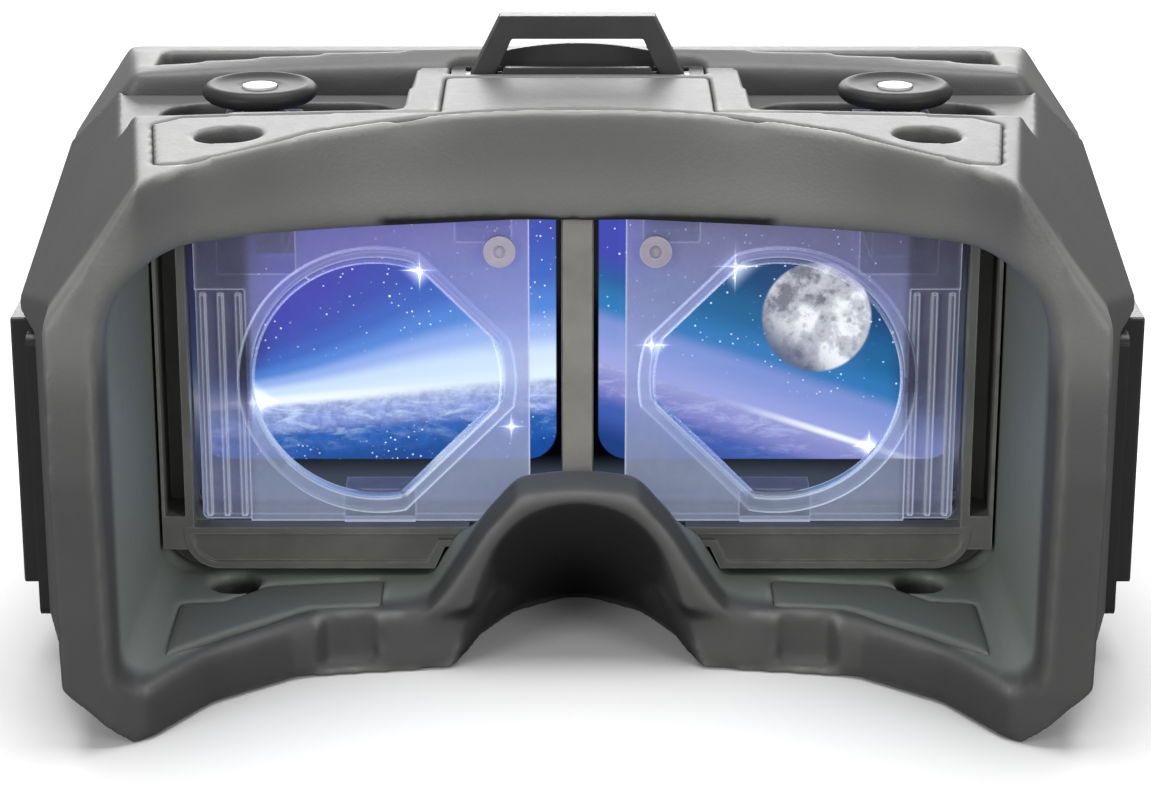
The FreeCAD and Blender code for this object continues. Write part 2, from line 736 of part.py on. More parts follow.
# ---------------------------------------------------------------- lenses and carriers
def lens_blank(name, radius, rear, front, grow="0"):
    """A disc on the right eye's axis with two flats on its nasal side."""
    disc = rod(f"{name}_disc", "y", "eye", rear, "eye_height", radius, f"{front} - ({rear})")
    pieces = [disc]
    for flat, angle in (("upper_flat", 135), ("lower_flat", -135)):
        side = doc.addObject("Part::Box", f"{name}_{flat}")
        reach = math.radians(angle)
        side.Placement = Placement(Vector(), Rotation(Vector(0, 1, 0), -angle))
        bind(side, Length="30", Width=f"{front} - ({rear}) + 2", Height="60")
        along, up = round(math.cos(reach), 6), round(math.sin(reach), 6)
        bind(side, Placement__Base__x=f"eye + ({flat} + {grow}) * {along} + 30 * {up}",
             Placement__Base__y=f"{rear} - 1",
             Placement__Base__z=f"eye_height + ({flat} + {grow}) * {up} - 30 * {along}")
        pieces.append(side)
    return cut_all(name, pieces[0], pieces[1:])


def make_lenses():
    """Double-convex lenses, edged to the carrier's opening."""
    middle = "(carrier_rear + carrier_front) / 2"
    sag = "lens_curve - sqrt(lens_curve^2 - lens_radius^2)"
    blank = lens_blank("LensBlank", "lens_radius", "-20", "14")
    shape = blank
    for name, sign in (("Rear", "+"), ("Front", "-")):
        ball = doc.addObject("Part::Sphere", f"LensBall{name}")
        bind(ball, Radius="lens_curve", Placement__Base__x="eye", Placement__Base__z="eye_height",
             Placement__Base__y=f"{middle} {sign} (lens_curve - ({sag}) - 1.2)")
        trimmed = doc.addObject("Part::Common", f"Lens{name}")
        trimmed.Base = shape
        trimmed.Tool = ball
        shape = trimmed
    pair("lens", shape)


def make_lens_rings():
    outer = lens_blank("RingOuter", "lens_radius + ring_width", "carrier_rear - 1.4", "carrier_rear",
                       "ring_width")
    inner = lens_blank("RingInner", "lens_radius - ring_lip", "carrier_rear - 2.4", "carrier_rear + 1",
                       "running")
    pair("lens_ring", cut("LensRing", outer, inner))


def make_carriers():
    """The sliding plate for one lens, with its rod lugs and the guide block that carries the button."""
    plate = new_body("CarrierPlate")
    outline = rectangle("carrier_inner", "carrier_outer", "carrier_floor", "carrier_roof", "1.2")
    extrude(plate, "Pad", "XZ", [outline], "carrier_rear", "carrier_front")
    rail = rectangle("rail_inner", "carrier_outer", "carrier_floor", "67")
    extrude(plate, "Pocket", "XZ", [rail], "carrier_rear - 1", "carrier_rear + 1.2")
    for index in range(3):
        left = f"rail_inner + ring_lip + {index} * rib_pitch"
        rib = rectangle(left, f"{left} + rib_width", "carrier_floor + 0.8", "66")
        extrude(plate, "Pad", "XZ", [rib], "carrier_rear + 0.3", "carrier_rear + 1.3")
    block = rectangle("knob - block_half", "knob + block_half", "69", "carrier_roof - 0.2")
    extrude(plate, "Pad", "XZ", [block], "carrier_front", "pivot_place + 3.2")
    guide = rectangle("knob - block_half", "knob + block_half", "knob_place - 8", "knob_place + 8")
    extrude(plate, "Pad", "XY", [guide], "76", "block_roof")
    trim = rectangle("knob - block_half - 1", "knob + block_half + 1", "78.2", "carrier_roof + 1")
    extrude(plate, "Pocket", "XZ", [trim], "knob_place + 8", "pivot_place + 4")
    pocket = rectangle("knob - 4", "knob + 4", "knob_place - 6", "pivot_place + 4")
    extrude(plate, "Pocket", "XY", [pocket], "68", "lever_roof")
    fork = rectangle("knob - 4", "knob + 4", "knob_place + 8", "pivot_place + 4")
    extrude(plate, "Pocket", "XY", [fork], "68", "block_roof + 1")
    bore = ("knob", "knob_place", "stem_radius + running")
    extrude(plate, "Pocket", "XY", [bore], "lever_roof - 1", "block_roof + 1")
    spring_seat = ("knob", "knob_place", "spring_radius + 1")
    extrude(plate, "Pocket", "XY", [spring_seat], "block_roof - 4.5", "block_roof + 1")
    lug = rectangle("30", "43", "window_floor + 0.5", "rod_lower + 2.9")
    extrude(plate, "Pad", "XZ", [lug], "carrier_front - 1", "rod_place + 3")
    inner_lug = rectangle("12", "22", "rod_upper - 4.4", "carrier_roof - 0.2")
    extrude(plate, "Pad", "XZ", [inner_lug], "carrier_front", "rod_place + 3")
    extrude(plate, "Pocket", "YZ", rod_holes("running"), "5", "75")
    extrude(plate, "Pocket", "YZ", [("pivot_place", "pivot_height", "pin_radius")], "knob - 8", "knob + 8")
    screw_hole = ("screw_place", "screw_height", "screw_shank + running")
    extrude(plate, "Pocket", "XZ", [screw_hole], "carrier_rear - 1", "carrier_front + 1")
    opening = lens_blank("CarrierOpening", "lens_radius + running", "carrier_rear - 1",
                         "carrier_front + 1", "running")
    pair("lens_carrier", cut("Carrier", plate, opening))


def make_carrier_screws():
    """The screw that holds each lens ring, with a round drive recess."""
    head = rod("CarrierScrewHead", "y", "screw_place", "carrier_rear - 1.6", "screw_height", "screw_head",
               "1.6")
    shank = rod("CarrierScrewShank", "y", "screw_place", "carrier_rear - 0.1", "screw_height",
                "screw_shank", "3")
    recess = rod("CarrierScrewDrive", "y", "screw_place", "carrier_rear - 1.7", "screw_height", "1.2", "0.9")
    pair("carrier_screw", cut("CarrierScrew", fuse("CarrierScrewBlank", [head, shank]), recess))


# ---------------------------------------------------------------- buttons
def make_buttons():
    high = "knob_top - knob_base"
    knob = spun("Knob", [
        ("0", "0"), ("8.6", "0", "3"), ("knob_radius", "1.7"), ("knob_radius", "2.3", "1.5"), ("9", high),
        ("8", high), ("5.6", f"{high} - 0.8"), ("cap_radius + running", f"{high} - 0.9"),
        ("cap_radius + running", f"{high} - 2"), ("0", f"{high} - 2"),
    ], "knob", "knob_place", "knob_base")
    pair("button_knob", knob)
    cap = spun("ButtonCap", [
        ("0", "0"), ("cap_radius", "0"), ("cap_radius", "1.5", "(cap_radius^2 + 0.45^2) / 0.9"),
        ("0", "1.95"),
    ], "knob", "knob_place", "knob_top - 1.99")
    pair("button_cap", cap)
    stem = spun("Stem", [
        ("0", "lever_roof + 0.1", "(stem_radius^2 + 1.5^2) / 3"), ("stem_radius", "lever_roof + 1.6"),
        ("stem_radius", "knob_base - 3"), ("stem_radius - 0.8", "knob_base - 3"),
        ("stem_radius - 0.8", "knob_base"), ("0", "knob_base"),
    ], "knob", "knob_place", "0")
    pair("button_stem", stem)
    make_button_spring()


def make_button_spring():
    """A coil spring wound around the stem, seated in the guide block."""
    body = new_body("Coil")
    wire = new_sketch(body, "XZ", [("spring_radius", "0", "wire_radius")])
    helix = body.newObject("PartDesign::AdditiveHelix", "CoilHelix")
    helix.Profile = wire
    helix.ReferenceAxis = (wire, ["V_Axis"])
    helix.Mode = "pitch-height-angle"
    bind(helix, Pitch="spring_pitch", Height="spring_height")
    bind(body, Placement__Base__x="knob", Placement__Base__y="knob_place",
         Placement__Base__z="block_roof - 4")
    pair("button_spring", body)


def make_levers():
    """The bell-crank that turns a press of the button into a touch on the phone."""
    lever = new_body("Lever")
    side = [
        ("knob_place - 4", "lever_roof - 2.4"), ("pivot_place - 2", "pivot_height - 2.6"),
        ("pivot_place + 2", "pivot_height - 3.4"), ("pivot_place + 6", "63"), ("pivot_place + 9", "62"),
        ("pivot_place + 9", "67"), ("pivot_place + 7.6", "67"),
        ("pivot_place + 3", "pivot_height + 1", "3.6"),
        ("pivot_place - 1", "lever_roof"), ("knob_place - 4", "lever_roof"),
    ]
    pivot = ("pivot_place", "pivot_height", "pin_radius + running")
    extrude(lever, "Pad", "YZ", [side], "knob - lever_half", "knob + lever_half")
    extrude(lever, "Pocket", "YZ", [pivot], "knob - 5", "knob + 5")
    pair("touch_lever", lever)
    pin = rod("LeverPin", "x", "knob - block_half", "pivot_place", "pivot_height", "pin_radius",
              "2 * block_half")
    pair("lever_pin", pin)
    pad = new_body("TouchPad")
    face = rectangle("knob - 3", "knob + 3", "62.3", "66.7", "1.5")
    extrude(pad, "Pad", "XZ", [face], "pivot_place + 9", "pivot_place + 10.6")
    pair("touch_pad", pad)


# ---------------------------------------------------------------- straps
SIDE_HINGE = "side_front - 2.5"


def make_top_strap():
    """The seat of the top strap, the loop hinged in it and the pin between them."""
    base = new_body("LoopBase")
    foot = rectangle(minus("base_width"), "base_width", "loop_place - base_half", "loop_place + base_half",
                     "1")
    extrude(base, "Pad", "XY", [foot], "base_floor", "height - 0.6")
    bay_half = "loop_foot_width + 0.9"
    bay = rectangle(minus(bay_half), bay_half, "loop_place - base_half - 1", "loop_place + 3")
    extrude(base, "Pocket", "XY", [bay], "loop_pivot - 4", "height + 1")
    back_top = "height + back_rise"
    ridge = [(minus("back_width"), "loop_pivot - 5"), ("back_width", "loop_pivot - 5"),
             ("back_width", back_top, "64.7"), (minus("back_width"), back_top)]
    extrude(base, "Pad", "XZ", [ridge], "loop_place + 3", "loop_place + base_half")
    lip = rectangle(minus("back_width - 0.5"), "back_width - 0.5", "loop_pivot - 5", "height + 0.9", "0.6")
    extrude(base, "Pad", "XZ", [lip], "loop_place - base_half", "loop_place - base_half + 1.4")
    pin_hole = ("loop_place", "loop_pivot", "strap_pin_radius + gap / 10")
    extrude(base, "Pocket", "YZ", [pin_hole], minus("base_width - 0.6"), "base_width - 0.6")
    finish(base, "strap_loop_base")
    loop = new_body("StrapLoop")
    shoulder, foot = "loop_pivot + 1", "loop_pivot - loop_half"
    half = [("loop_top_width", "loop_top"), ("loop_foot_width", shoulder), ("loop_foot_width", foot),
            ("loop_foot_inner", foot), ("loop_foot_inner", shoulder),
            ("loop_top_inner", "loop_top - loop_bar")]
    outer = [(minus(x), z) for x, z in half] + half[::-1]
    extrude(loop, "Pad", "XZ", [outer], "loop_place - loop_half", "loop_place + loop_half")
    hinge_hole = ("loop_place", "loop_pivot", "strap_pin_radius + running")
    extrude(loop, "Pocket", "YZ", [hinge_hole], minus("base_width"), "base_width")
    finish(loop, "strap_loop")
    reach = "(base_width - 0.8)"
    pin = rod("LoopPin", "x", minus(reach), "loop_place", "loop_pivot", "strap_pin_radius", f"2 * {reach}")
    finish(pin, "strap_loop_pin")


def make_side_plates():
    """The plate let into each side, with two lugs for the strap bar's pin."""
    plate = new_body("SidePlate")
    face = rectangle("side_rear", "side_front", "side_floor", "side_roof", "2")
    extrude(plate, "Pad", "YZ", [face], "side_seat + 0.1", "side_face")
    lugs = [rectangle("side_front - 5", "side_front", low, f"{low} + 6") for low in ("side_floor",
                                                                                     "side_roof - 6")]
    extrude(plate, "Pad", "YZ", lugs, "side_face", "side_outer - 0.3")
    hole = ("side_pin", SIDE_HINGE, "strap_pin_radius + gap / 10")
    extrude(plate, "Pocket", "XY", [hole], "side_floor + 1", "side_roof - 1")
    pair("side_strap_plate", plate)


def make_side_bars():
    """The strap bar hinged on each side plate by an upright pin."""
    bar = new_body("SideBar")
    plan = [("side_outer", "side_bar_rear"), ("side_outer", SIDE_HINGE, "2.351"),
            ("side_face + 0.3", SIDE_HINGE), ("side_face + 0.3", "side_bar_rear")]
    extrude(bar, "Pad", "XY", [plan], "side_floor + 1", "side_roof - 1")
    knuckle_gaps = [rectangle("side_front - 7", "side_front + 2", "side_floor", "side_floor + 6.3"),
                    rectangle("side_front - 7", "side_front + 2", "side_roof - 6.3", "side_roof")]
    opening = rectangle("side_bar_rear + 4", "side_front - 8", "side_floor + 9", "side_roof - 9", "2")
    extrude(bar, "Pocket", "YZ", knuckle_gaps + [opening], "side_face", "side_outer + 1")
    hole = ("side_pin", SIDE_HINGE, "strap_pin_radius + running")
    extrude(bar, "Pocket", "XY", [hole], "side_floor", "side_roof")
    pair("side_strap_bar", bar)
    pin = rod("SidePin", "z", "side_pin", SIDE_HINGE, "side_floor + 1.2", "strap_pin_radius",
              "side_roof - side_floor - 2.4")
    pair("side_strap_pin", pin)


# ---------------------------------------------------------------- phone and pads
def make_phone():
    body = new_body("Phone")
    slab = rectangle(minus("phone_width"), "phone_width", "phone_floor", "phone_floor + phone_height", "9")
    extrude(body, "Pad", "XZ", [slab], "phone_rear + 0.8", "phone_rear + phone_thick")
    finish(body, "phone_body")
    glass = new_body("PhoneGlass")
    pane = rectangle(minus("phone_width - 0.6"), "phone_width - 0.6", "phone_floor + 0.6",
                     "phone_floor + phone_height - 0.6", "8.4")
    extrude(glass, "Pad", "XZ", [pane], "phone_rear", "phone_rear + 0.8")
    finish(glass, "phone_screen")


def make_phone_pads():
    """Soft pads that grip the phone: a sheet on the front wall and a strip under the phone."""
    sheet_pad = box("PadBack", "-70", "16", "phone_rear + phone_thick + 0.3", "bay_front - running", "14",
                    "82")
    finish(sheet_pad, "phone_pad_front")
    strip = box("PadFoot", "-70", "70", "bay_rear + 0.5", "bay_front - 0.5", "bay_floor + running",
                "phone_floor - 0.1")
    finish(strip, "phone_pad_foot")


make_foam_body()
make_front_housing()
make_top_panel()
make_floor_panels()
make_camera_cover()
make_chassis()
make_divider()
make_guide_rods()
make_lenses()
make_lens_rings()
make_carriers()
make_carrier_screws()
make_buttons()
make_levers()
make_top_strap()
make_side_plates()
make_side_bars()
make_phone()
make_phone_pads()
doc.recompute()

problems = [item.Label for item in doc.Objects if "Invalid" in item.State or "Error" in item.State]
for piece in FINISHED:
    if piece.Shape.isNull() or not piece.Shape.isValid() or not piece.Shape.Solids:
        problems.append(piece.Label)
if problems:
    raise SystemExit(f"broken objects: {sorted(set(problems))}")

os.makedirs("parts", exist_ok=True)
for piece in FINISHED:
    piece.Shape.exportStep(f"parts/{piece.Label}.step")
print(len(FINISHED), "parts written")
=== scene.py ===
"""Looks of the phone viewing goggles: soft foam, plastics, lenses and a lit phone, around the CAD frame.

Lengths are in metres unless a name says mm. +Z is up, +X is the wearer's right, -Y is the face side.
"""

import math

import bpy
import numpy as np
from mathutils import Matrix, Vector


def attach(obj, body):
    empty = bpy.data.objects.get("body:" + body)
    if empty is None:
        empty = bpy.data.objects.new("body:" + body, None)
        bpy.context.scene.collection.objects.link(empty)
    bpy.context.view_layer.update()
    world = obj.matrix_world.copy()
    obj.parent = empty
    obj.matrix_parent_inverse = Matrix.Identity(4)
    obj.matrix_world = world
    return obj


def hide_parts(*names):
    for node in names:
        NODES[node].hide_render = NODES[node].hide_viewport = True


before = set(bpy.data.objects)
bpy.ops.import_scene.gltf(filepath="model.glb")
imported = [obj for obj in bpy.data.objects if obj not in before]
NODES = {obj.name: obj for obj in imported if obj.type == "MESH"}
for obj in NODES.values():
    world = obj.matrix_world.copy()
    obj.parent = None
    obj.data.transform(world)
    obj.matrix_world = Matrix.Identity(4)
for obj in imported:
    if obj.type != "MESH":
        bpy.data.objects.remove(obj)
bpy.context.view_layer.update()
MM = 0.001
SIDES = ("left", "right")


# ---------------------------------------------------------------- shader helpers
class Shader:
    """Builds one node material."""

    def __init__(self, name):
        self.material = bpy.data.materials.new(name)
        self.material.use_nodes = True
        self.tree = self.material.node_tree
        self.tree.nodes.clear()
        self.place = self.add("ShaderNodeTexCoord").outputs["Object"]

    def add(self, kind, inputs=None, **settings):
        node = self.tree.nodes.new(kind)
        for name, setting in settings.items():
            setattr(node, name, setting)
        for name, source in (inputs or {}).items():
            self.plug(node.inputs[name], source)
        return node

    def plug(self, socket, source):
        if isinstance(source, bpy.types.NodeSocket):
            self.tree.links.new(source, socket)
        else:
            socket.default_value = source

    def math(self, operation, first, second=0.0, third=0.0, clamp=False):
        node = self.add("ShaderNodeMath", operation=operation, use_clamp=clamp)
        for socket, source in zip(node.inputs, (first, second, third)):
            self.plug(socket, source)
        return node.outputs[0]

    def place_mm(self):
        """X, Y and Z of the shaded point in mm."""
        split = self.add("ShaderNodeSeparateXYZ", {"Vector": self.place})
        return [self.math("MULTIPLY", split.outputs[axis], 1000.0) for axis in "XYZ"]

    def noise(self, scale, detail=3.0, roughness=0.5, place=None):
        inputs = {"Vector": place or self.place, "Scale": scale, "Detail": detail, "Roughness": roughness}
        return self.add("ShaderNodeTexNoise", inputs).outputs["Fac"]

    def cells(self, scale):
        inputs = {"Vector": self.place, "Scale": scale}
        return self.add("ShaderNodeTexVoronoi", inputs).outputs["Distance"]

    def ramp(self, source, stops, interpolation="EASE"):
        """Colours or greys against a 0 to 1 input."""
        node = self.add("ShaderNodeValToRGB", {"Fac": source})
        node.color_ramp.interpolation = interpolation
        elements = node.color_ramp.elements
        while len(elements) < len(stops):
            elements.new(0.5)
        for element, (position, colour) in zip(elements, stops):
            element.position = position
            element.color = (colour, colour, colour, 1) if isinstance(colour, float) else (*colour, 1)
        return node.outputs["Color"]

    def span(self, source, low, high, to_low=0.0, to_high=1.0):
        """Map a range onto another, held at its ends."""
        inputs = {"Value": source, "From Min": low, "From Max": high, "To Min": to_low, "To Max": to_high}
        return self.add("ShaderNodeMapRange", inputs, interpolation_type="SMOOTHSTEP").outputs["Result"]

    def blend(self, factor, first, second, mode="MIX"):
        node = self.add("ShaderNodeMix", data_type="RGBA", blend_type=mode)
        for index, source in ((0, factor), (6, first), (7, second)):
            if index and not isinstance(source, bpy.types.NodeSocket):
                source = (*source, 1) if len(source) == 3 else source
            self.plug(node.inputs[index], source)
        return node.outputs[2]

    def bump(self, height, strength, distance, normal=None):
        inputs = {"Height": height, "Strength": strength, "Distance": distance}
        if normal is not None:
            inputs["Normal"] = normal
        return self.add("ShaderNodeBump", inputs).outputs["Normal"]

    def principled(self, colour, roughness, normal=None, **extra):
        if isinstance(colour, tuple):
            colour = (*colour, 1)
        inputs = {"Base Color": colour, "Roughness": roughness}
        if normal is not None:
            inputs["Normal"] = normal
        inputs.update({name.replace("_", " "): source for name, source in extra.items()})
        return self.add("ShaderNodeBsdfPrincipled", inputs).outputs["BSDF"]

    def mix(self, factor, first, second):
        node = self.add("ShaderNodeMixShader", {"Fac": factor})
        self.plug(node.inputs[1], first)
        self.plug(node.inputs[2], second)
        return node.outputs[0]

    def finish(self, surface):
        output = self.add("ShaderNodeOutputMaterial")
        self.plug(output.inputs["Surface"], surface)
        return self.material


def hard_edge_mask(shader, radius, low, high):
    """1 along hard edges and 0 on flats, from how far a bevelled normal leans away."""
    bevel = shader.add("ShaderNodeBevel", {"Radius": radius}, samples=4).outputs["Normal"]
    flat = shader.add("ShaderNodeNewGeometry").outputs["Normal"]
    lean = shader.add("ShaderNodeVectorMath", {0: bevel, 1: flat}, operation="DOT_PRODUCT").outputs["Value"]
    return shader.span(lean, high, low)


# ---------------------------------------------------------------- materials
def foam_material(name, tone, roughness=0.50):
    """Moulded skin foam: fine leathery grain, faint mottling, and a painted highlight along its hard edges.

    Vertices can carry masks: "cavity" turns the tone towards a pale green-grey, a second mask paints light
    on the soft outer edges and the brow, and "shade" paints shade.
    """
    shader = Shader(name)
    mottle = shader.noise(26, 5, 0.6)
    grain = shader.cells(1500)
    fine = shader.noise(3800, 3)
    dust = shader.noise(420, 6, 0.7)
    edges = hard_edge_mask(shader, 1.3 * MM, 0.88, 0.992)
    cavity = shader.add("ShaderNodeAttribute", attribute_name="cavity").outputs["Fac"]
    painted_light = shader.add("ShaderNodeAttribute", attribute_name="painted_light").outputs["Fac"]
    shade = shader.add("ShaderNodeAttribute", attribute_name="shade").outputs["Fac"]
    base = shader.blend(shader.span(mottle, 0.3, 0.7), tuple(tone * 0.92 for _ in range(3)),
                        (tone * 1.09, tone * 1.08, tone * 1.06))
    base = shader.blend(cavity, base, (tone * 1.85, tone * 2.02, tone * 1.85))
    # Painted highlight: hard edges, and the soft edges and brow that the mask marks, are painted paler,
    # towards three times the tone.
    bevel_highlight = shader.math("MULTIPLY", edges, 0.45)
    pale = shader.math("MAXIMUM", bevel_highlight, shader.math("MULTIPLY", painted_light, 0.75))
    base = shader.blend(pale, base, (tone * 3.0, tone * 3.0, tone * 2.9))
    # Painted shade: where the shade mask is set, the tone darkens towards a tenth of itself.
    base = shader.blend(shade, base, (tone * 0.10, tone * 0.10, tone * 0.10))
    shine = shader.math("ADD", roughness - 0.07, shader.math("MULTIPLY", dust, 0.15))
    shine = shader.math("SUBTRACT", shine, shader.math("MULTIPLY", edges, 0.08))
    shine = shader.math("ADD", shine, shader.math("MULTIPLY", shade, 0.3))
    normal = shader.bump(grain, 0.22, 0.12 * MM)
    normal = shader.bump(fine, 0.18, 0.06 * MM, normal)
    normal = shader.bump(mottle, 0.10, 0.6 * MM, normal)
    return shader.finish(shader.principled(base, shine, normal, Specular_IOR_Level=0.5))


SILL_TOP_MM = 22
CHASSIS_FRONT_MM = -0.95


def sill(shader):
    """1 on the window's sill, which lies in the shade of the lens carriers."""
    _, depth, height = shader.place_mm()
    normal = shader.add("ShaderNodeNewGeometry").outputs["True Normal"]
    up = shader.add("ShaderNodeSeparateXYZ", {"Vector": normal}).outputs["Z"]
    low = shader.math("LESS_THAN", height, SILL_TOP_MM)
    inside = shader.math("GREATER_THAN", depth, CHASSIS_FRONT_MM)
    return shader.math("MULTIPLY", shader.math("MULTIPLY", low, inside), shader.span(up, 0.5, 0.8))


def plastic_material(name, colour, roughness, wear=0.35, coat=0.0, gloss=0.5, shaded=None):
    """Moulded plastic with a spark-eroded grain, worn pale along its edges, and painted dark where it lies
    in shade.
    """
    shader = Shader(name)
    grain = shader.noise(2600, 4, 0.6)
    cloud = shader.noise(60, 5, 0.6)
    edges = hard_edge_mask(shader, 0.6 * MM, 0.86, 0.99)
    scuff = shader.math("MULTIPLY", edges, shader.span(shader.noise(300, 4), 0.3, 0.65))
    base = shader.blend(shader.span(cloud, 0.3, 0.7), tuple(c * 0.85 for c in colour),
                        tuple(c * 1.15 for c in colour))
    lifted = tuple(c * 1.8 + 0.03 for c in colour)
    base = shader.blend(shader.math("MULTIPLY", scuff, wear), base, lifted)
    if shaded:
        base = shader.blend(shaded(shader), base, (0.004, 0.004, 0.005))
    shine = shader.math("ADD", roughness - 0.06, shader.math("MULTIPLY", cloud, 0.12))
    normal = shader.bump(grain, 0.2, 0.08 * MM)
    return shader.finish(shader.principled(base, shine, normal, Coat_Weight=coat, Coat_Roughness=0.18,
                                           Specular_IOR_Level=gloss))


def metal_material(name, colour, roughness):
    """Drawn metal: fine lengthwise scratches and slight tarnish."""
    shader = Shader(name)
    stretched = shader.add("ShaderNodeMapping", {"Vector": shader.place, "Scale": (1, 14, 14)}).outputs[0]
    scratch = shader.noise(900, 4, 0.7, stretched)
    tarnish = shader.noise(140, 5, 0.6)
    base = shader.blend(shader.span(tarnish, 0.35, 0.7), colour, tuple(c * 0.72 for c in colour))
    shine = shader.math("ADD", roughness - 0.08, shader.math("MULTIPLY", scratch, 0.2))
    normal = shader.bump(scratch, 0.15, 0.05 * MM)
    return shader.finish(shader.principled(base, shine, normal, Metallic=1.0))


RAIL_EDGE_MM = (58.5, 60.5)
CARRIER_FRONT_MM = (-1.2, -1.6)


def frosted_material(name, clear, tint, edge_glow, plate_glow):
    """Lightly frosted clear plastic with a painted glow that stands in for the phone's light inside it: its
    edges glow, and its face a little.
    """
    shader = Shader(name)
    ripple = shader.noise(90, 4, 0.6)
    grain = shader.noise(2200, 3)
    edges = hard_edge_mask(shader, 0.7 * MM, 0.80, 0.99)
    normal = shader.bump(ripple, 0.25, 0.5 * MM)
    normal = shader.bump(grain, 0.08, 0.05 * MM, normal)
    across, depth, height = shader.place_mm()
    across = shader.math("ABSOLUTE", across)
    rails = shader.math("MULTIPLY", shader.span(across, *RAIL_EDGE_MM), shader.span(height, 36, 54))
    see_tint = shader.blend(rails, tint, (0.26, 0.24, 0.36))
    see = shader.add("ShaderNodeBsdfTransparent", {"Color": see_tint}).outputs[0]
    glow = shader.add("ShaderNodeBsdfTranslucent", {
        "Color": (0.85, 0.88, 1.0, 1), "Normal": normal}).outputs[0]
    skin = shader.principled((0.72, 0.71, 0.82), 0.24, normal, Specular_IOR_Level=0.5)
    body = shader.mix(0.35, glow, skin)
    haze = shader.math("ADD", 1.0 - clear, shader.math("MULTIPLY", shader.span(ripple, 0.35, 0.7), 0.12))
    haze = shader.math("ADD", haze, shader.math("MULTIPLY", edges, 0.2), clamp=True)
    surface = shader.mix(haze, see, body)
    # Painted light: the plastic glows, most along its edges, though it is no lamp.
    painted_glow_colour, strength = painted_glow(shader, (across, depth, height), edges, edge_glow, plate_glow)
    light = shader.add("ShaderNodeEmission", {"Color": painted_glow_colour, "Strength": strength}).outputs[0]
    both_lights = shader.add("ShaderNodeAddShader")
    shader.plug(both_lights.inputs[0], surface)
    shader.plug(both_lights.inputs[1], light)
    return shader.finish(both_lights.outputs[0])


def painted_glow(shader, place_mm, edges, edge_glow, plate_glow):
    """Colour and strength of the painted glow in clear plastic: violet high up, pale blue low, faint on
    rails.
    """
    across, depth, height = place_mm
    tone = bands(shader, height, 24, 82, [
        (24, (0.58, 0.72, 0.82)), (52, (0.62, 0.78, 1.0)),
        (66, (0.52, 0.54, 0.92)), (82, (0.42, 0.36, 0.70))])
    tone = shader.blend(edges, tone, (0.84, 0.91, 1.0))
    off_rails = shader.span(across, *RAIL_EDGE_MM, 1.0, 0.30)
    face = shader.math("MULTIPLY", off_rails, shader.span(depth, *CARRIER_FRONT_MM))
    rim = shader.math("MULTIPLY", edges, shader.span(depth, *CARRIER_FRONT_MM, edge_glow * 0.25, edge_glow))
    return tone, shader.math("ADD", rim, shader.math("MULTIPLY", face, plate_glow))


def lens_material():
    """Polished lens: see-through, with sheen that grows towards grazing angles."""
    shader = Shader("lens_glass")
    smear = shader.noise(70, 5, 0.6)
    fresnel = shader.add("ShaderNodeFresnel", {"IOR": 1.45}).outputs[0]
    see = shader.add("ShaderNodeBsdfTransparent", {"Color": (0.97, 0.985, 1.0, 1)}).outputs[0]
    gleam = shader.add("ShaderNodeBsdfGlossy", {
        "Color": (0.85, 0.9, 1, 1), "Roughness": shader.span(smear, 0.3, 0.8, 0.03, 0.10)}).outputs[0]
    return shader.finish(shader.mix(shader.math("MULTIPLY", fresnel, 0.5), see, gleam))


# ---------------------------------------------------------------- the phone's picture
def bands(shader, height, low, high, stops):
    """Colours at heights in mm."""
    share = shader.math("DIVIDE", shader.math("SUBTRACT", height, low), high - low, clamp=True)
    return shader.ramp(share, [((place - low) / (high - low), colour) for place, colour in stops])


PANE_MIDDLE_MM = (39.4, 50.6)
PANE_HALF_MM = (35.4, 32.0)
PANE_CORNER_MM = 6.0
FLARE_COLOUR = (0.92, 0.97, 1.0)
LEFT_HORIZON_SLOPE, LEFT_HORIZON_MM = 0.086, 35.9
RIGHT_HORIZON_SLOPE, RIGHT_HORIZON_MM = -0.329, 40.3
# Painted glints drawn into the picture for highlights on the lenses: x, z and arm length in mm.
LEFT_FLARES_MM = ((-63.7, 30.4, 6.5), (-30.6, 57.5, 5.0), (-13.0, 25.5, 4.0))
RIGHT_FLARES_MM = ((30.6, 58.3, 6.5), (14.5, 42.3, 4.5), (57.5, 21.4, 4.0))
MOON_MM = (46.6, 48.0)
MOON_RADIUS_MM = 10.9
MOON_SQUASH = 0.955


def screen_material():
    """A generic picture from orbit for each eye: stars, a glowing rim of air, sea and towns, with painted
    glints drawn on it.
    """
    shader = Shader("phone_picture")
    x, _, z = shader.place_mm()
    right = shader.math("GREATER_THAN", x, 0.0)
    left_picture, left_power = left_eye_picture(shader, x, z)
    right_picture, right_power = right_eye_picture(shader, x, z)
    picture = shader.blend(right, left_picture, right_picture)
    powers = {0: right, 2: left_power, 3: right_power}
    power = shader.add("ShaderNodeMix", powers, data_type="FLOAT").outputs[0]
    light = shader.add("ShaderNodeEmission", {"Color": picture, "Strength": power}).outputs[0]
    gloss = shader.add("ShaderNodeBsdfGlossy", {"Color": (1, 1, 1, 1), "Roughness": 0.06}).outputs[0]
    # Painted light: the black surround glows faint blue, from nothing at 20 mm to its most at 14 mm.
    dark = shader.principled((0.004, 0.004, 0.006), 0.12, Emission_Color=(0.16, 0.22, 0.32, 1),
                             Emission_Strength=shader.span(z, 20, 14, 0.0, 0.28))
    return shader.finish(shader.mix(pane(shader, x, z), dark, shader.mix(0.04, light, gloss)))


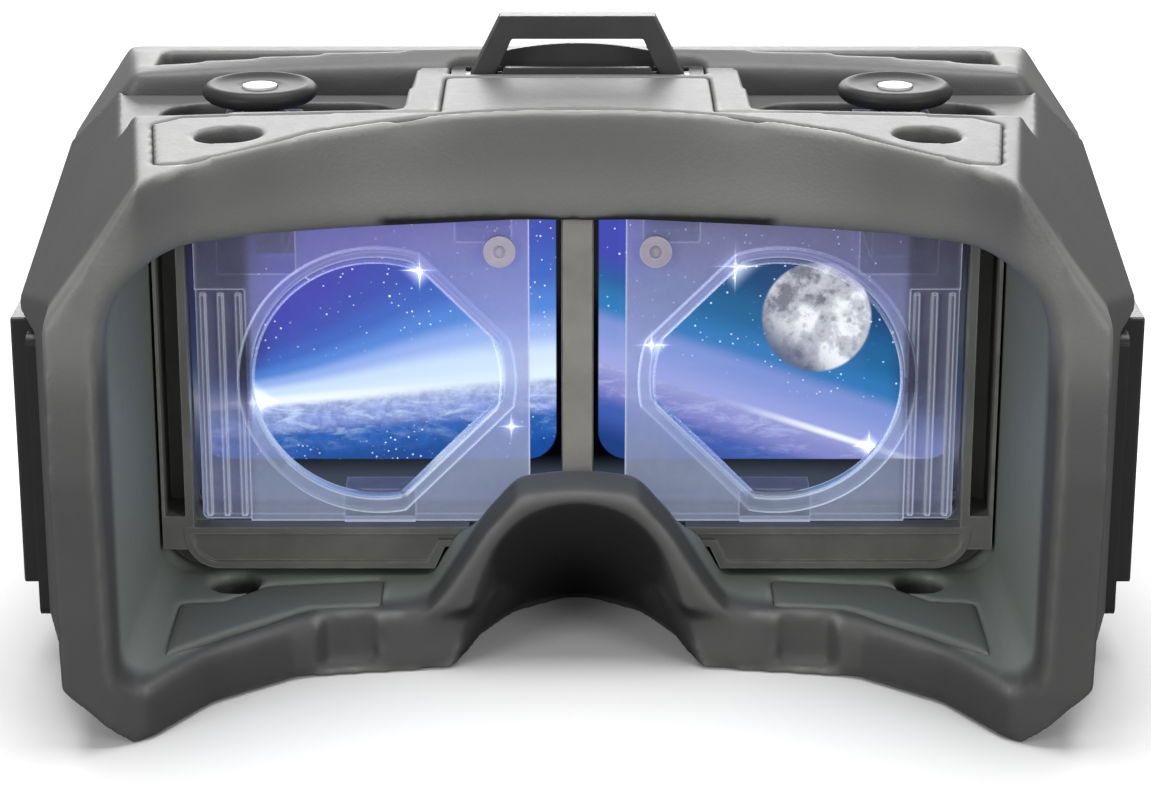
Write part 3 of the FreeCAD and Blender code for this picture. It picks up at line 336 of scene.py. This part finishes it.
def pane(shader, x, z):
    """1 inside the two lit panes with rounded corners, 0 on the black surround."""
    past = []
    for place, middle, half in zip((shader.math("ABSOLUTE", x), z), PANE_MIDDLE_MM, PANE_HALF_MM):
        off = shader.math("ABSOLUTE", shader.math("SUBTRACT", place, middle))
        past.append(shader.math("MAXIMUM", shader.math("SUBTRACT", off, half - PANE_CORNER_MM), 0.0))
    return shader.span(distance(shader, *past), PANE_CORNER_MM, PANE_CORNER_MM - 0.3)


def distance(shader, dx, dz):
    """Length of a step of dx and dz."""
    squares = shader.math("ADD", shader.math("MULTIPLY", dx, dx), shader.math("MULTIPLY", dz, dz))
    return shader.math("SQRT", squares)


def left_eye_picture(shader, x, z):
    """A level horizon with a broad white glow on its right and a bright flare on its left, which is a
    painted glint.
    """
    horizon = shader.math("MULTIPLY_ADD", x, LEFT_HORIZON_SLOPE, LEFT_HORIZON_MM)
    above = shader.math("SUBTRACT", z, horizon)
    spread = shader.span(x, -66, -14, 0.35, 1.0)
    lifted = shader.math("DIVIDE", shader.math("MAXIMUM", above, 0.0), spread)
    sky = bands(shader, lifted, 0, 44, [
        (0, (0.74, 0.88, 0.98)), (5, (0.64, 0.78, 0.96)), (10, (0.32, 0.46, 0.86)),
        (15, (0.09, 0.24, 0.68)), (22, (0.05, 0.13, 0.52)), (31, (0.050, 0.08, 0.43)),
        (44, (0.06, 0.06, 0.41))])
    edge = shader.math("MULTIPLY", shader.span(x, -58, -66), shader.span(above, 2, 14))
    sky = shader.blend(edge, sky, (0.022, 0.014, 0.075))
    clouds = cloud_streaks(shader, 150, 3.2)
    sea = bands(shader, above, -24, 0, [
        (-24, (0.02, 0.07, 0.26)), (-14, (0.010, 0.075, 0.34)), (-8, (0.03, 0.14, 0.50)),
        (-5, (0.30, 0.38, 0.78)), (0, (0.55, 0.64, 0.90))])
    swell = shader.span(shader.noise(420, 8, 0.7), 0.35, 0.65)
    sea = shader.blend(shader.math("MULTIPLY", swell, 0.4), sea, (0.010, 0.05, 0.20))
    clouds = shader.math("MULTIPLY", clouds, shader.span(above, -13, -1))
    sea = shader.blend(clouds, sea, (0.62, 0.76, 0.96))
    picture = shader.blend(shader.span(above, -0.8, 0.8), sea, sky)
    off_line = shader.math("ABSOLUTE", above)
    line = shader.math("MULTIPLY", shader.span(off_line, 1.5, 0.1), shader.span(x, -10, -50))
    picture = shader.blend(line, picture, FLARE_COLOUR)
    faint_stars = star_field(shader, 700, 0.17, shader.span(above, 6, 14))
    picture = shader.blend(faint_stars, picture, (0.8, 0.88, 1.0))
    bright_stars = star_field(shader, 250, 0.075, shader.span(above, 5, 12))
    picture = shader.blend(bright_stars, picture, (1.0, 1.0, 1.0))
    settled = shader.span(shader.noise(160, 4), 0.36, 0.56)
    towns = shader.math("MULTIPLY", shader.span(above, -5, -9), settled)
    picture = shader.blend(star_field(shader, 950, 0.24, towns), picture, (0.80, 0.92, 1.0))
    return with_painted_glints(shader, picture, x, z, LEFT_FLARES_MM)


def right_eye_picture(shader, x, z):
    """A horizon falling to the right under a teal sky with a moon."""
    horizon = shader.math("MULTIPLY_ADD", x, RIGHT_HORIZON_SLOPE, RIGHT_HORIZON_MM)
    above = shader.math("SUBTRACT", z, horizon)
    sky = bands(shader, above, 0, 46, [
        (0, (0.34, 0.38, 0.76)), (8, (0.22, 0.30, 0.66)), (12, (0.030, 0.19, 0.48)),
        (19, (0.006, 0.12, 0.30)), (28, (0.004, 0.055, 0.17)), (38, (0.006, 0.02, 0.07)),
        (46, (0.04, 0.03, 0.12))])
    nasal = shader.math("MULTIPLY", shader.span(x, 17, 9), shader.span(above, 14, 24))
    sky = shader.blend(nasal, sky, (0.045, 0.06, 0.42))
    temple = shader.math("MULTIPLY", shader.span(x, 60, 68), shader.span(above, 4, 16))
    sky = shader.blend(temple, sky, (0.012, 0.008, 0.045))
    clouds = cloud_streaks(shader, 130, 3.6)
    sea = bands(shader, above, -26, 0, [
        (-26, (0.02, 0.05, 0.16)), (-16, (0.014, 0.05, 0.22)), (-9, (0.05, 0.11, 0.42)),
        (-4, (0.24, 0.25, 0.58)), (0, (0.33, 0.35, 0.66))])
    clouds = shader.math("MULTIPLY", clouds, shader.span(above, -12, -1))
    sea = shader.blend(clouds, sea, (0.44, 0.46, 0.80))
    picture = shader.blend(shader.span(above, -0.6, 0.6), sea, sky)
    off_line = shader.math("ABSOLUTE", above)
    line = shader.math("MULTIPLY", shader.span(off_line, 1.1, 0.1), shader.span(x, 26, 52))
    picture = shader.blend(line, picture, (0.95, 0.98, 1.0))
    faint_stars = star_field(shader, 680, 0.18, shader.span(above, 4, 10))
    picture = shader.blend(faint_stars, picture, (0.65, 0.85, 1.0))
    bright_stars = star_field(shader, 260, 0.075, shader.span(above, 4, 10))
    picture = shader.blend(bright_stars, picture, (1.0, 1.0, 1.0))
    picture = moon(shader, picture, x, z)
    return with_painted_glints(shader, picture, x, z, RIGHT_FLARES_MM)


def with_painted_glints(shader, picture, x, z, places):
    """The picture's colour and brightness, once its painted glints are on it."""
    flares = glints(shader, x, z, places)
    return shader.blend(flares, picture, FLARE_COLOUR), shader.math("MULTIPLY_ADD", flares, 3.0, 1.1)


def cloud_streaks(shader, scale, stretch):
    """Broken cloud drawn out along the horizon."""
    drawn_out = shader.add("ShaderNodeMapping", {
        "Vector": shader.place, "Scale": (1, 1, stretch)}).outputs[0]
    broken = shader.add("ShaderNodeTexNoise", {
        "Vector": drawn_out, "Scale": scale, "Detail": 9.0, "Roughness": 0.70,
        "Distortion": 0.5}).outputs["Fac"]
    return shader.math("MULTIPLY", shader.span(broken, 0.47, 0.66), 0.85)


def star_field(shader, scale, size, where):
    """Scattered points of light, some much brighter than others."""
    spots = shader.span(shader.cells(scale), size, size * 0.5)
    rare = shader.span(shader.noise(scale * 0.9, 1), 0.42, 0.56)
    return shader.math("MULTIPLY", shader.math("MULTIPLY", spots, rare), where)


def moon(shader, picture, x, z):
    """A grey cratered disc, lit from the right."""
    dx = shader.math("SUBTRACT", x, MOON_MM[0])
    dz = shader.math("MULTIPLY", shader.math("SUBTRACT", z, MOON_MM[1]), MOON_SQUASH)
    disc = shader.span(distance(shader, dx, dz), MOON_RADIUS_MM, MOON_RADIUS_MM - 0.6)
    seas = shader.ramp(shader.noise(120, 6, 0.65), [
        (0.38, (0.20, 0.20, 0.24)), (0.50, (0.55, 0.55, 0.60)), (0.62, (0.95, 0.95, 0.97))])
    pits = shader.span(shader.cells(460), 0.05, 0.45, 0.62, 1.1)
    face = shader.blend(1.0, seas, shader.ramp(pits, [(0.0, 0.0), (1.0, 1.0)], "LINEAR"), "MULTIPLY")
    lit = shader.span(shader.math("ADD", dx, dz), -16, -2)
    face = shader.blend(shader.math("SUBTRACT", 1.0, lit), face, (0.10, 0.12, 0.20))
    return shader.blend(disc, picture, face)


def glints(shader, x, z, places):
    """Painted glints for the highlights on the lenses: small star-shaped flares, each at x and z in mm with
    arms of a length in mm.
    """
    total = None
    for place_x, place_z, size in places:
        dx = shader.math("ABSOLUTE", shader.math("SUBTRACT", x, place_x))
        dz = shader.math("ABSOLUTE", shader.math("SUBTRACT", z, place_z))
        away = shader.math("ADD", dx, dz)
        arms = shader.math("MULTIPLY", shader.span(shader.math("MULTIPLY", dx, dz), 0.5, 0.0),
                           shader.span(shader.math("MAXIMUM", dx, dz), size, 0.0))
        halo = shader.math("MULTIPLY", shader.span(away, size * 0.9, 0.0), 0.4)
        flare = shader.math("MAXIMUM", shader.math("MAXIMUM", arms, halo), shader.span(away, 1.8, 0.3))
        total = flare if total is None else shader.math("MAXIMUM", total, flare)
    return total


# ---------------------------------------------------------------- soft foam pieces
FOAM_VOXEL = 0.75 * MM


def evenly_meshed(node, name, voxel):
    """A new object with the CAD node remeshed into small even quads."""
    points = [vertex.co[:] for vertex in NODES[node].data.vertices]
    faces = [list(face.vertices) for face in NODES[node].data.polygons]
    mesh = bpy.data.meshes.new(name)
    mesh.from_pydata(points, [], faces)
    piece = bpy.data.objects.new(name, mesh)
    bpy.context.scene.collection.objects.link(piece)
    remesh = piece.modifiers.new("even", "REMESH")
    remesh.mode = "VOXEL"
    remesh.voxel_size = voxel
    remesh.use_smooth_shade = True
    return bake_modifiers(piece)


def bake_modifiers(piece):
    """Replace the piece's mesh with what its modifiers make of it."""
    bpy.context.view_layer.update()
    evaluated = piece.evaluated_get(bpy.context.evaluated_depsgraph_get())
    mesh = bpy.data.meshes.new_from_object(evaluated)
    piece.modifiers.clear()
    piece.data = mesh
    return piece


def vertex_places(mesh):
    """Vertex positions as rows of X, Y and Z."""
    places = np.empty(len(mesh.vertices) * 3)
    mesh.vertices.foreach_get("co", places)
    return places.reshape(-1, 3)


def vertex_normals(mesh):
    normals = np.empty(len(mesh.vertices) * 3)
    mesh.vertices.foreach_get("normal", normals)
    return normals.reshape(-1, 3)


def neighbour_average(mesh):
    """A function that gives, for each vertex, the mean of its neighbours' values."""
    edges = np.empty(len(mesh.edges) * 2, dtype=np.int64)
    mesh.edges.foreach_get("vertices", edges)
    one, other = edges.reshape(-1, 2).T
    count = len(mesh.vertices)
    neighbours = np.bincount(one, minlength=count) + np.bincount(other, minlength=count)

    def average(values):
        totals = [np.bincount(one, column[other], count) + np.bincount(other, column[one], count)
                  for column in values.T]
        return np.stack(totals, axis=1) / neighbours[:, None]

    return average


def relax(mesh, weights, rounds):
    """Pull each vertex towards the mean of its neighbours, by its own weight."""
    places = vertex_places(mesh)
    average = neighbour_average(mesh)
    for _ in range(rounds):
        places += weights[:, None] * (average(places) - places)
    mesh.vertices.foreach_set("co", places.ravel())
    mesh.update()


def soften(mesh, rounds):
    """Relax the whole mesh evenly."""
    relax(mesh, np.full(len(mesh.vertices), 0.5), rounds)


def bulge(mesh):
    """How far in mm each vertex stands proud of its neighbours, evened out a little."""
    places = vertex_places(mesh) / MM
    average = neighbour_average(mesh)
    stand = np.sum((places - average(places)) * vertex_normals(mesh), axis=1)
    for _ in range(4):
        stand = 0.5 * stand + 0.5 * average(stand[:, None])[:, 0]
    return stand


def ramp_up(values, low, high):
    """0 below low, 1 above high, smooth between."""
    share = np.clip((values - low) / (high - low), 0, 1)
    return share * share * (3 - 2 * share)


SHELL_HEIGHT_MM = 100
SHELL_HALF_WIDTH_MM = 98
FACE_REACH_MM = (0, 25, 50, 64, 73, 80, SHELL_HALF_WIDTH_MM)
BROW_DEPTH_MM = (-5, -9, -24, -38, -54, -57, -58)
CHEEK_DEPTH_MM = (-21, -22, -26, -37, -53, -57, -58)
FLARE_END_MM = -19
FLARE_SLOPE = 10 / 31
FACET_NORMAL = (636 / 801, -84 / 801, 480 / 801)
FACET_POINT_MM = (SHELL_HALF_WIDTH_MM, FLARE_END_MM, 70)
TOE_START_MM = 77


def face_depth(across, height):
    """Y of the surface that meets the face, in mm, for distance from the middle and height in mm."""
    brow = np.interp(across, FACE_REACH_MM, BROW_DEPTH_MM)
    cheek = np.interp(across, FACE_REACH_MM, CHEEK_DEPTH_MM)
    share = np.clip(height / SHELL_HEIGHT_MM, 0, 1)
    return cheek + (brow - cheek) * share


def outer_gap(across, depth, height):
    """Distance in mm inside the shell's outer side planes: upper facet, flared side and 45 degree toe."""
    facet = sum(slope * (point - place) for slope, point, place in
                zip(FACET_NORMAL, FACET_POINT_MM, (across, depth, height)))
    side = (SHELL_HALF_WIDTH_MM - across) + np.minimum(0, depth - FLARE_END_MM) * FLARE_SLOPE
    toe = (height - (across - TOE_START_MM)) / math.sqrt(2)
    return np.minimum(np.minimum(facet, side), toe)


def mask(mesh, name, values):
    """Store a 0 to 1 value per vertex for the foam material to read."""
    layer = mesh.attributes.new(name, "FLOAT", "POINT")
    layer.data.foreach_set("value", values.astype(np.float32))


def make_foam_body(material):
    piece = evenly_meshed("foam_body", "foam_shell", FOAM_VOXEL)
    mesh = piece.data
    places = vertex_places(mesh) / MM
    across, depth, height = np.abs(places[:, 0]), places[:, 1], places[:, 2]
    behind = depth - face_depth(across, height)
    gap = outer_gap(across, depth, height)
    soften_face(mesh, across, depth, height, behind, gap)
    mask_shell(mesh, across, depth, height, behind, gap)
    dress(piece, material, "shell", "foam_body")


def soften_face(mesh, across, depth, height, behind, gap):
    """Round the face rim like skinned foam, most of all along the brow, cheeks and nose.

    The arrays hold, per vertex and in mm, its distance from the middle, its Y and Z, how far it lies behind
    the face surface and how far inside the outer side planes.
    """
    rim = (1 - ramp_up(behind, 4, 9)) * np.maximum(ramp_up(gap, 0.5, 3.0), 0.25)
    on_top = ramp_up(height, 95, 96.5)
    rim *= 1 - on_top * ramp_up(behind, 0.8, 1.8)
    groove = (across > 29) * (across < 47) * (height < 18) * (depth > -34)
    rim *= np.where(groove, 0.3, 1.0)
    brow = rim * ramp_up(height, 66, 78) * (1 - ramp_up(height, 93, 96))
    cheek = rim * ramp_up(height, 4, 8) * (1 - ramp_up(height, 26, 40)) * (1 - ramp_up(across, 66, 74))
    nose = (1 - ramp_up(across, 29, 34)) * ramp_up(height, 6, 10) * (1 - ramp_up(depth, -10, -7))
    soften(mesh, 2)
    relax(mesh, 0.55 * rim, 14)
    relax(mesh, 0.55 * np.maximum(np.maximum(brow, cheek), nose), 24)


def mask_shell(mesh, across, depth, height, behind, gap):
    """Masks for the pale cavity, the painted shade on the flanks, nose saddle and lower rim, and the
    painted light on the brow and rounded edges.

    The arrays are those of soften_face.
    """
    inside = (1 - ramp_up(across, 79, 80.5)) * ramp_up(height, 9.5, 10.5) * (1 - ramp_up(height, 88, 90))
    mask(mesh, "cavity", inside * ramp_up(behind, 3, 9) * (1 - ramp_up(depth, 6, 8)))
    normals = vertex_normals(mesh)
    sideways, downwards = np.abs(normals[:, 0]), -normals[:, 2]
    # Painted shade: the underside of the nose saddle, sideways-facing flanks and nose sides and the lower
    # rim are darkened, except inside the cavity.
    saddle = (1 - ramp_up(across, 33, 36)) * ramp_up(height, 0.5, 2) * (depth < 16)
    under = saddle * ramp_up(downwards, 0.05, 0.45)
    open_face = ramp_up(height, 62, 76) * (1 - ramp_up(behind, 3, 8))
    flanks = (0.52 + 0.12 * (across < 36)) * ramp_up(sideways, 0.30, 0.65)
    flanks = np.maximum(flanks * (1 - open_face), 0.32 * (1 - ramp_up(height, 50, 72)))
    mask(mesh, "shade", np.maximum(under, flanks * (1 - inside * ramp_up(behind, 3, 9))))
    # Painted light: edges that stand proud and the brow on the open face are lightened, most at the
    # temples.
    rounded_edge_highlight = ramp_up(bulge(mesh), 0.015, 0.06) * (1 - ramp_up(behind, 10, 14)) * ramp_up(gap, 1.5, 5)
    temples = ramp_up(across, 15, 40) * (1 - ramp_up(across, 60, 72))
    forehead = 0.12 + 0.30 * (1 - ramp_up(height, 84, 94)) + 0.22 * temples
    mask(mesh, "painted_light", np.maximum(rounded_edge_highlight, forehead * open_face))


def dress(piece, material, body, replaced):
    """Give a new piece its material and body, and let it stand for its CAD node."""
    piece.data.materials.clear()
    piece.data.materials.append(material)
    piece.data.polygons.foreach_set("use_smooth", [True] * len(piece.data.polygons))
    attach(piece, body)
    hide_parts(replaced)


def make_front_housing(material):
    piece = evenly_meshed("front_housing", "foam_front_housing", FOAM_VOXEL)
    places = vertex_places(piece.data) / MM
    edge = np.maximum(ramp_up(places[:, 1], 55, 58), 0.8 * ramp_up(places[:, 2], 92, 97))
    soften(piece.data, 2)
    relax(piece.data, 0.5 * edge, 12)
    dress(piece, material, "shell", "front_housing")


def make_camera_cover(material):
    piece = evenly_meshed("camera_cover", "foam_camera_cover", 0.5 * MM)
    soften(piece.data, 4)
    dress(piece, material, "cover", "camera_cover")


def swell(mesh, distance):
    """Push a mesh's upright sides outwards, so that it fills its seat."""
    outwards = vertex_normals(mesh) * (1, 1, 0)
    mesh.vertices.foreach_set("co", (vertex_places(mesh) + distance * outwards).ravel())
    mesh.update()


def make_panels(panel_foam, floor_foam):
    for node, material in (("top_panel", panel_foam), ("left_floor_panel", floor_foam),
                           ("right_floor_panel", floor_foam)):
        piece = evenly_meshed(node, f"foam_{node}", 0.5 * MM)
        soften(piece.data, 2)
        swell(piece.data, 0.25 * MM)
        if node != "top_panel":
            mask(piece.data, "cavity", np.full(len(piece.data.vertices), 0.8))
        dress(piece, material, "shell", node)


def make_phone_pads(material):
    for node in ("phone_pad_front", "phone_pad_foot"):
        piece = evenly_meshed(node, f"sponge_{node}", 0.6 * MM)
        soften(piece.data, 8)
        dress(piece, material, "shell", node)


# ---------------------------------------------------------------- buttons
KNOB_SEAT_MM = (58, 15.5, 96.9)
KNOB_PROFILE_MM = [
    (0, 0), (7.6, 0), (8.6, 0.12), (9.5, 0.5), (10.15, 1.1), (10.46, 1.7),
    (10.49, 2.1), (10.36, 2.6), (9.95, 3.1), (9.4, 3.45), (8.9, 3.57), (8.5, 3.5),
    (8.0, 3.25), (7.0, 2.95), (5.6, 2.8), (3.4, 2.75), (3.18, 2.6), (3.18, 1.65), (0, 1.65),
]


def lathe(name, profile_mm, centre, steps=128):
    """Turn a profile of radius and height in mm around an upright axis."""
    points, faces = [], []
    rings = []
    for radius, height in profile_mm:
        if radius == 0:
            rings.append([len(points)] * steps)
            points.append((centre[0], centre[1], centre[2] + height * MM))
            continue
        rings.append(list(range(len(points), len(points) + steps)))
        for step in range(steps):
            turn = 2 * math.pi * step / steps
            across, along = radius * MM * math.cos(turn), radius * MM * math.sin(turn)
            points.append((centre[0] + across, centre[1] + along, centre[2] + height * MM))
    for low, high in zip(rings, rings[1:]):
        for step in range(steps):
            after = (step + 1) % steps
            corners = [low[step], low[after], high[after], high[step]]
            faces.append(list(dict.fromkeys(corners)))
    mesh = bpy.data.meshes.new(name)
    mesh.from_pydata(points, [], faces)
    piece = bpy.data.objects.new(name, mesh)
    bpy.context.scene.collection.objects.link(piece)
    return piece


def make_knobs(material):
    for side, sign in (("left", -1), ("right", 1)):
        centre = [offset * MM for offset in (sign * KNOB_SEAT_MM[0], *KNOB_SEAT_MM[1:])]
        piece = lathe(f"{side}_knob_turned", KNOB_PROFILE_MM, centre)
        dress(piece, material, f"{side}_button", f"{side}_button_knob")


# ---------------------------------------------------------------- CAD pieces
def paint(names, material, bevel=0.0):
    """Give CAD nodes a material, with their hard edges lightly rounded."""
    for name in names:
        node = NODES[name]
        node.data.materials.clear()
        node.data.materials.append(material)
        if not bevel:
            continue
        node.data.polygons.foreach_set("use_smooth", [True] * len(node.data.polygons))
        weld = node.modifiers.new("weld", "WELD")
        weld.merge_threshold = 0.001 * MM
        rounding = node.modifiers.new("rounding", "BEVEL")
        rounding.width = bevel
        rounding.segments = 3
        rounding.limit_method = "ANGLE"
        rounding.angle_limit = math.radians(32)
        rounding.use_clamp_overlap = True
        normals = node.modifiers.new("normals", "WEIGHTED_NORMAL")
        normals.keep_sharp = False


def both(name):
    return [f"{side}_{name}" for side in SIDES]


def paint_hard_parts():
    # The chassis's strong edge wear is partly painted highlight along its beads, and its sill carries
    # painted shade.
    chassis = plastic_material("chassis_plastic", (0.18, 0.18, 0.168), 0.42, 0.8, shaded=sill)
    paint(["lens_chassis"], chassis, 0.45 * MM)
    paint(["centre_divider"], plastic_material("divider_plastic", (0.265, 0.255, 0.24), 0.45), 0.6 * MM)
    inner = plastic_material("inner_plastic", (0.05, 0.05, 0.05), 0.5)
    paint(both("button_stem") + both("touch_lever"), inner, 0.2 * MM)
    paint(both("button_cap"), plastic_material("pearl_cap", (0.92, 0.92, 0.92), 0.2, 0.0, 0.5))
    strap = plastic_material("strap_plastic", (0.045, 0.045, 0.046), 0.44, 0.5)
    paint(["strap_loop"], strap, 0.5 * MM)
    paint(["strap_loop_base"], strap, 0.25 * MM)
    side = plastic_material("side_plastic", (0.014, 0.014, 0.015), 0.40, 0.3)
    paint(both("side_strap_plate") + both("side_strap_bar"), side, 0.6 * MM)
    # The frosted parts glow with painted light, and the rings' strong edge glow paints the bright line
    # round each lens.
    carrier = frosted_material("frosted_carrier", 0.68, (0.80, 0.81, 0.96), 0.34, 0.10)
    paint(both("lens_carrier"), carrier, 0.35 * MM)
    paint(both("lens_ring"), frosted_material("frosted_ring", 0.94, (0.97, 0.98, 1.0), 2.0, 0.03), 0.4 * MM)
    paint(both("lens"), lens_material())
    steel = metal_material("dull_steel", (0.32, 0.32, 0.33), 0.34)
    paint(both("lever_pin") + both("side_strap_pin") + ["strap_loop_pin"], steel, 0.15 * MM)
    paint(["guide_rod_upper", "guide_rod_lower"], steel, 0.15 * MM)
    paint(both("button_spring"), steel)
    paint(both("carrier_screw"), plastic_material("pale_screw", (0.50, 0.47, 0.58), 0.32), 0.25 * MM)
    paint(both("touch_pad"), plastic_material("touch_rubber", (0.02, 0.02, 0.02), 0.6, 0.1), 0.2 * MM)
    paint(["phone_body"], plastic_material("phone_case", (0.012, 0.012, 0.014), 0.25, 0.1, 0.4), 0.8 * MM)
    paint(["phone_screen"], screen_material())


# ---------------------------------------------------------------- stage, light and camera
def floor():
    """A white floor that throws little light back up."""
    size = 6.0
    mesh = bpy.data.meshes.new("floor")
    corners = [(-size, -size, 0), (size, -size, 0), (size, size, 0), (-size, size, 0)]
    mesh.from_pydata(corners, [], [(0, 1, 2, 3)])
    plane = bpy.data.objects.new("floor", mesh)
    bpy.context.scene.collection.objects.link(plane)
    shader = Shader("pale_floor")
    tone = shader.blend(shader.noise(3, 3), (0.86, 0.86, 0.86), (0.88, 0.88, 0.88))
    seen = shader.add("ShaderNodeLightPath").outputs["Is Camera Ray"]
    tone = shader.blend(seen, (0.22, 0.22, 0.22), tone)
    mesh.materials.append(shader.finish(shader.principled(tone, 0.75)))


def soft_light(name, place, target, width, depth, power):
    """A rectangular softbox facing its target, in metres and watts."""
    data = bpy.data.lights.new(name, "AREA")
    data.shape = "RECTANGLE"
    data.size = width
    data.size_y = depth
    data.energy = power
    lamp = bpy.data.objects.new(name, data)
    lamp.location = place
    lamp.rotation_euler = (Vector(target) - Vector(place)).to_track_quat("-Z", "Y").to_euler()
    bpy.context.scene.collection.objects.link(lamp)


def lighting():
    """White surroundings, a softbox above, one behind that lights the top edges, and two front fills."""
    world = bpy.data.worlds.new("studio")
    world.use_nodes = True
    tree = world.node_tree
    background = tree.nodes["Background"]
    background.inputs["Color"].default_value = (1, 1, 1, 1)
    seen = tree.nodes.new("ShaderNodeLightPath")
    strength = tree.nodes.new("ShaderNodeMapRange")
    strength.inputs["To Min"].default_value = 0.40
    strength.inputs["To Max"].default_value = 1.0
    tree.links.new(seen.outputs["Is Camera Ray"], strength.inputs["Value"])
    tree.links.new(strength.outputs["Result"], background.inputs["Strength"])
    bpy.context.scene.world = world
    middle = (0, 0, 0.06)
    soft_light("top_softbox", (0, 0.1, 0.95), middle, 0.9, 0.7, 10.5)
    soft_light("back_softbox", (0, 1.3, 0.48), (0, 0, 0.09), 0.95, 0.42, 10)
    soft_light("left_fill", (-0.9, -0.9, 0.35), middle, 0.5, 0.5, 6.0)
    soft_light("right_fill", (0.9, -0.9, 0.35), middle, 0.5, 0.5, 5.4)


CAMERA_MM = (-0.36, -574.3, 236.6)
LOOK_DOWN_DEGREES = 18.5
LENS_LENGTH_MM = 103.2


def camera():
    """A viewpoint on the face side, about 600 mm from the lenses, looking down at them."""
    data = bpy.data.cameras.new("camera")
    data.sensor_width = 36
    data.lens = LENS_LENGTH_MM
    view = bpy.data.objects.new("camera", data)
    view.location = Vector(CAMERA_MM) * MM
    view.rotation_euler = (math.radians(90 - LOOK_DOWN_DEGREES), 0, 0)
    bpy.context.scene.collection.objects.link(view)
    bpy.context.scene.camera = view


foam = foam_material("skin_foam", 0.10)
make_foam_body(foam)
make_front_housing(foam)
make_camera_cover(foam)
make_panels(foam_material("panel_foam", 0.115), foam_material("floor_foam", 0.078))
make_knobs(plastic_material("black_plastic", (0.022, 0.022, 0.023), 0.50, 0.3, gloss=0.22))
make_phone_pads(foam_material("black_sponge", 0.02, 0.8))
paint_hard_parts()
floor()
lighting()
camera()
bpy.context.scene.view_settings.view_transform = "Standard"
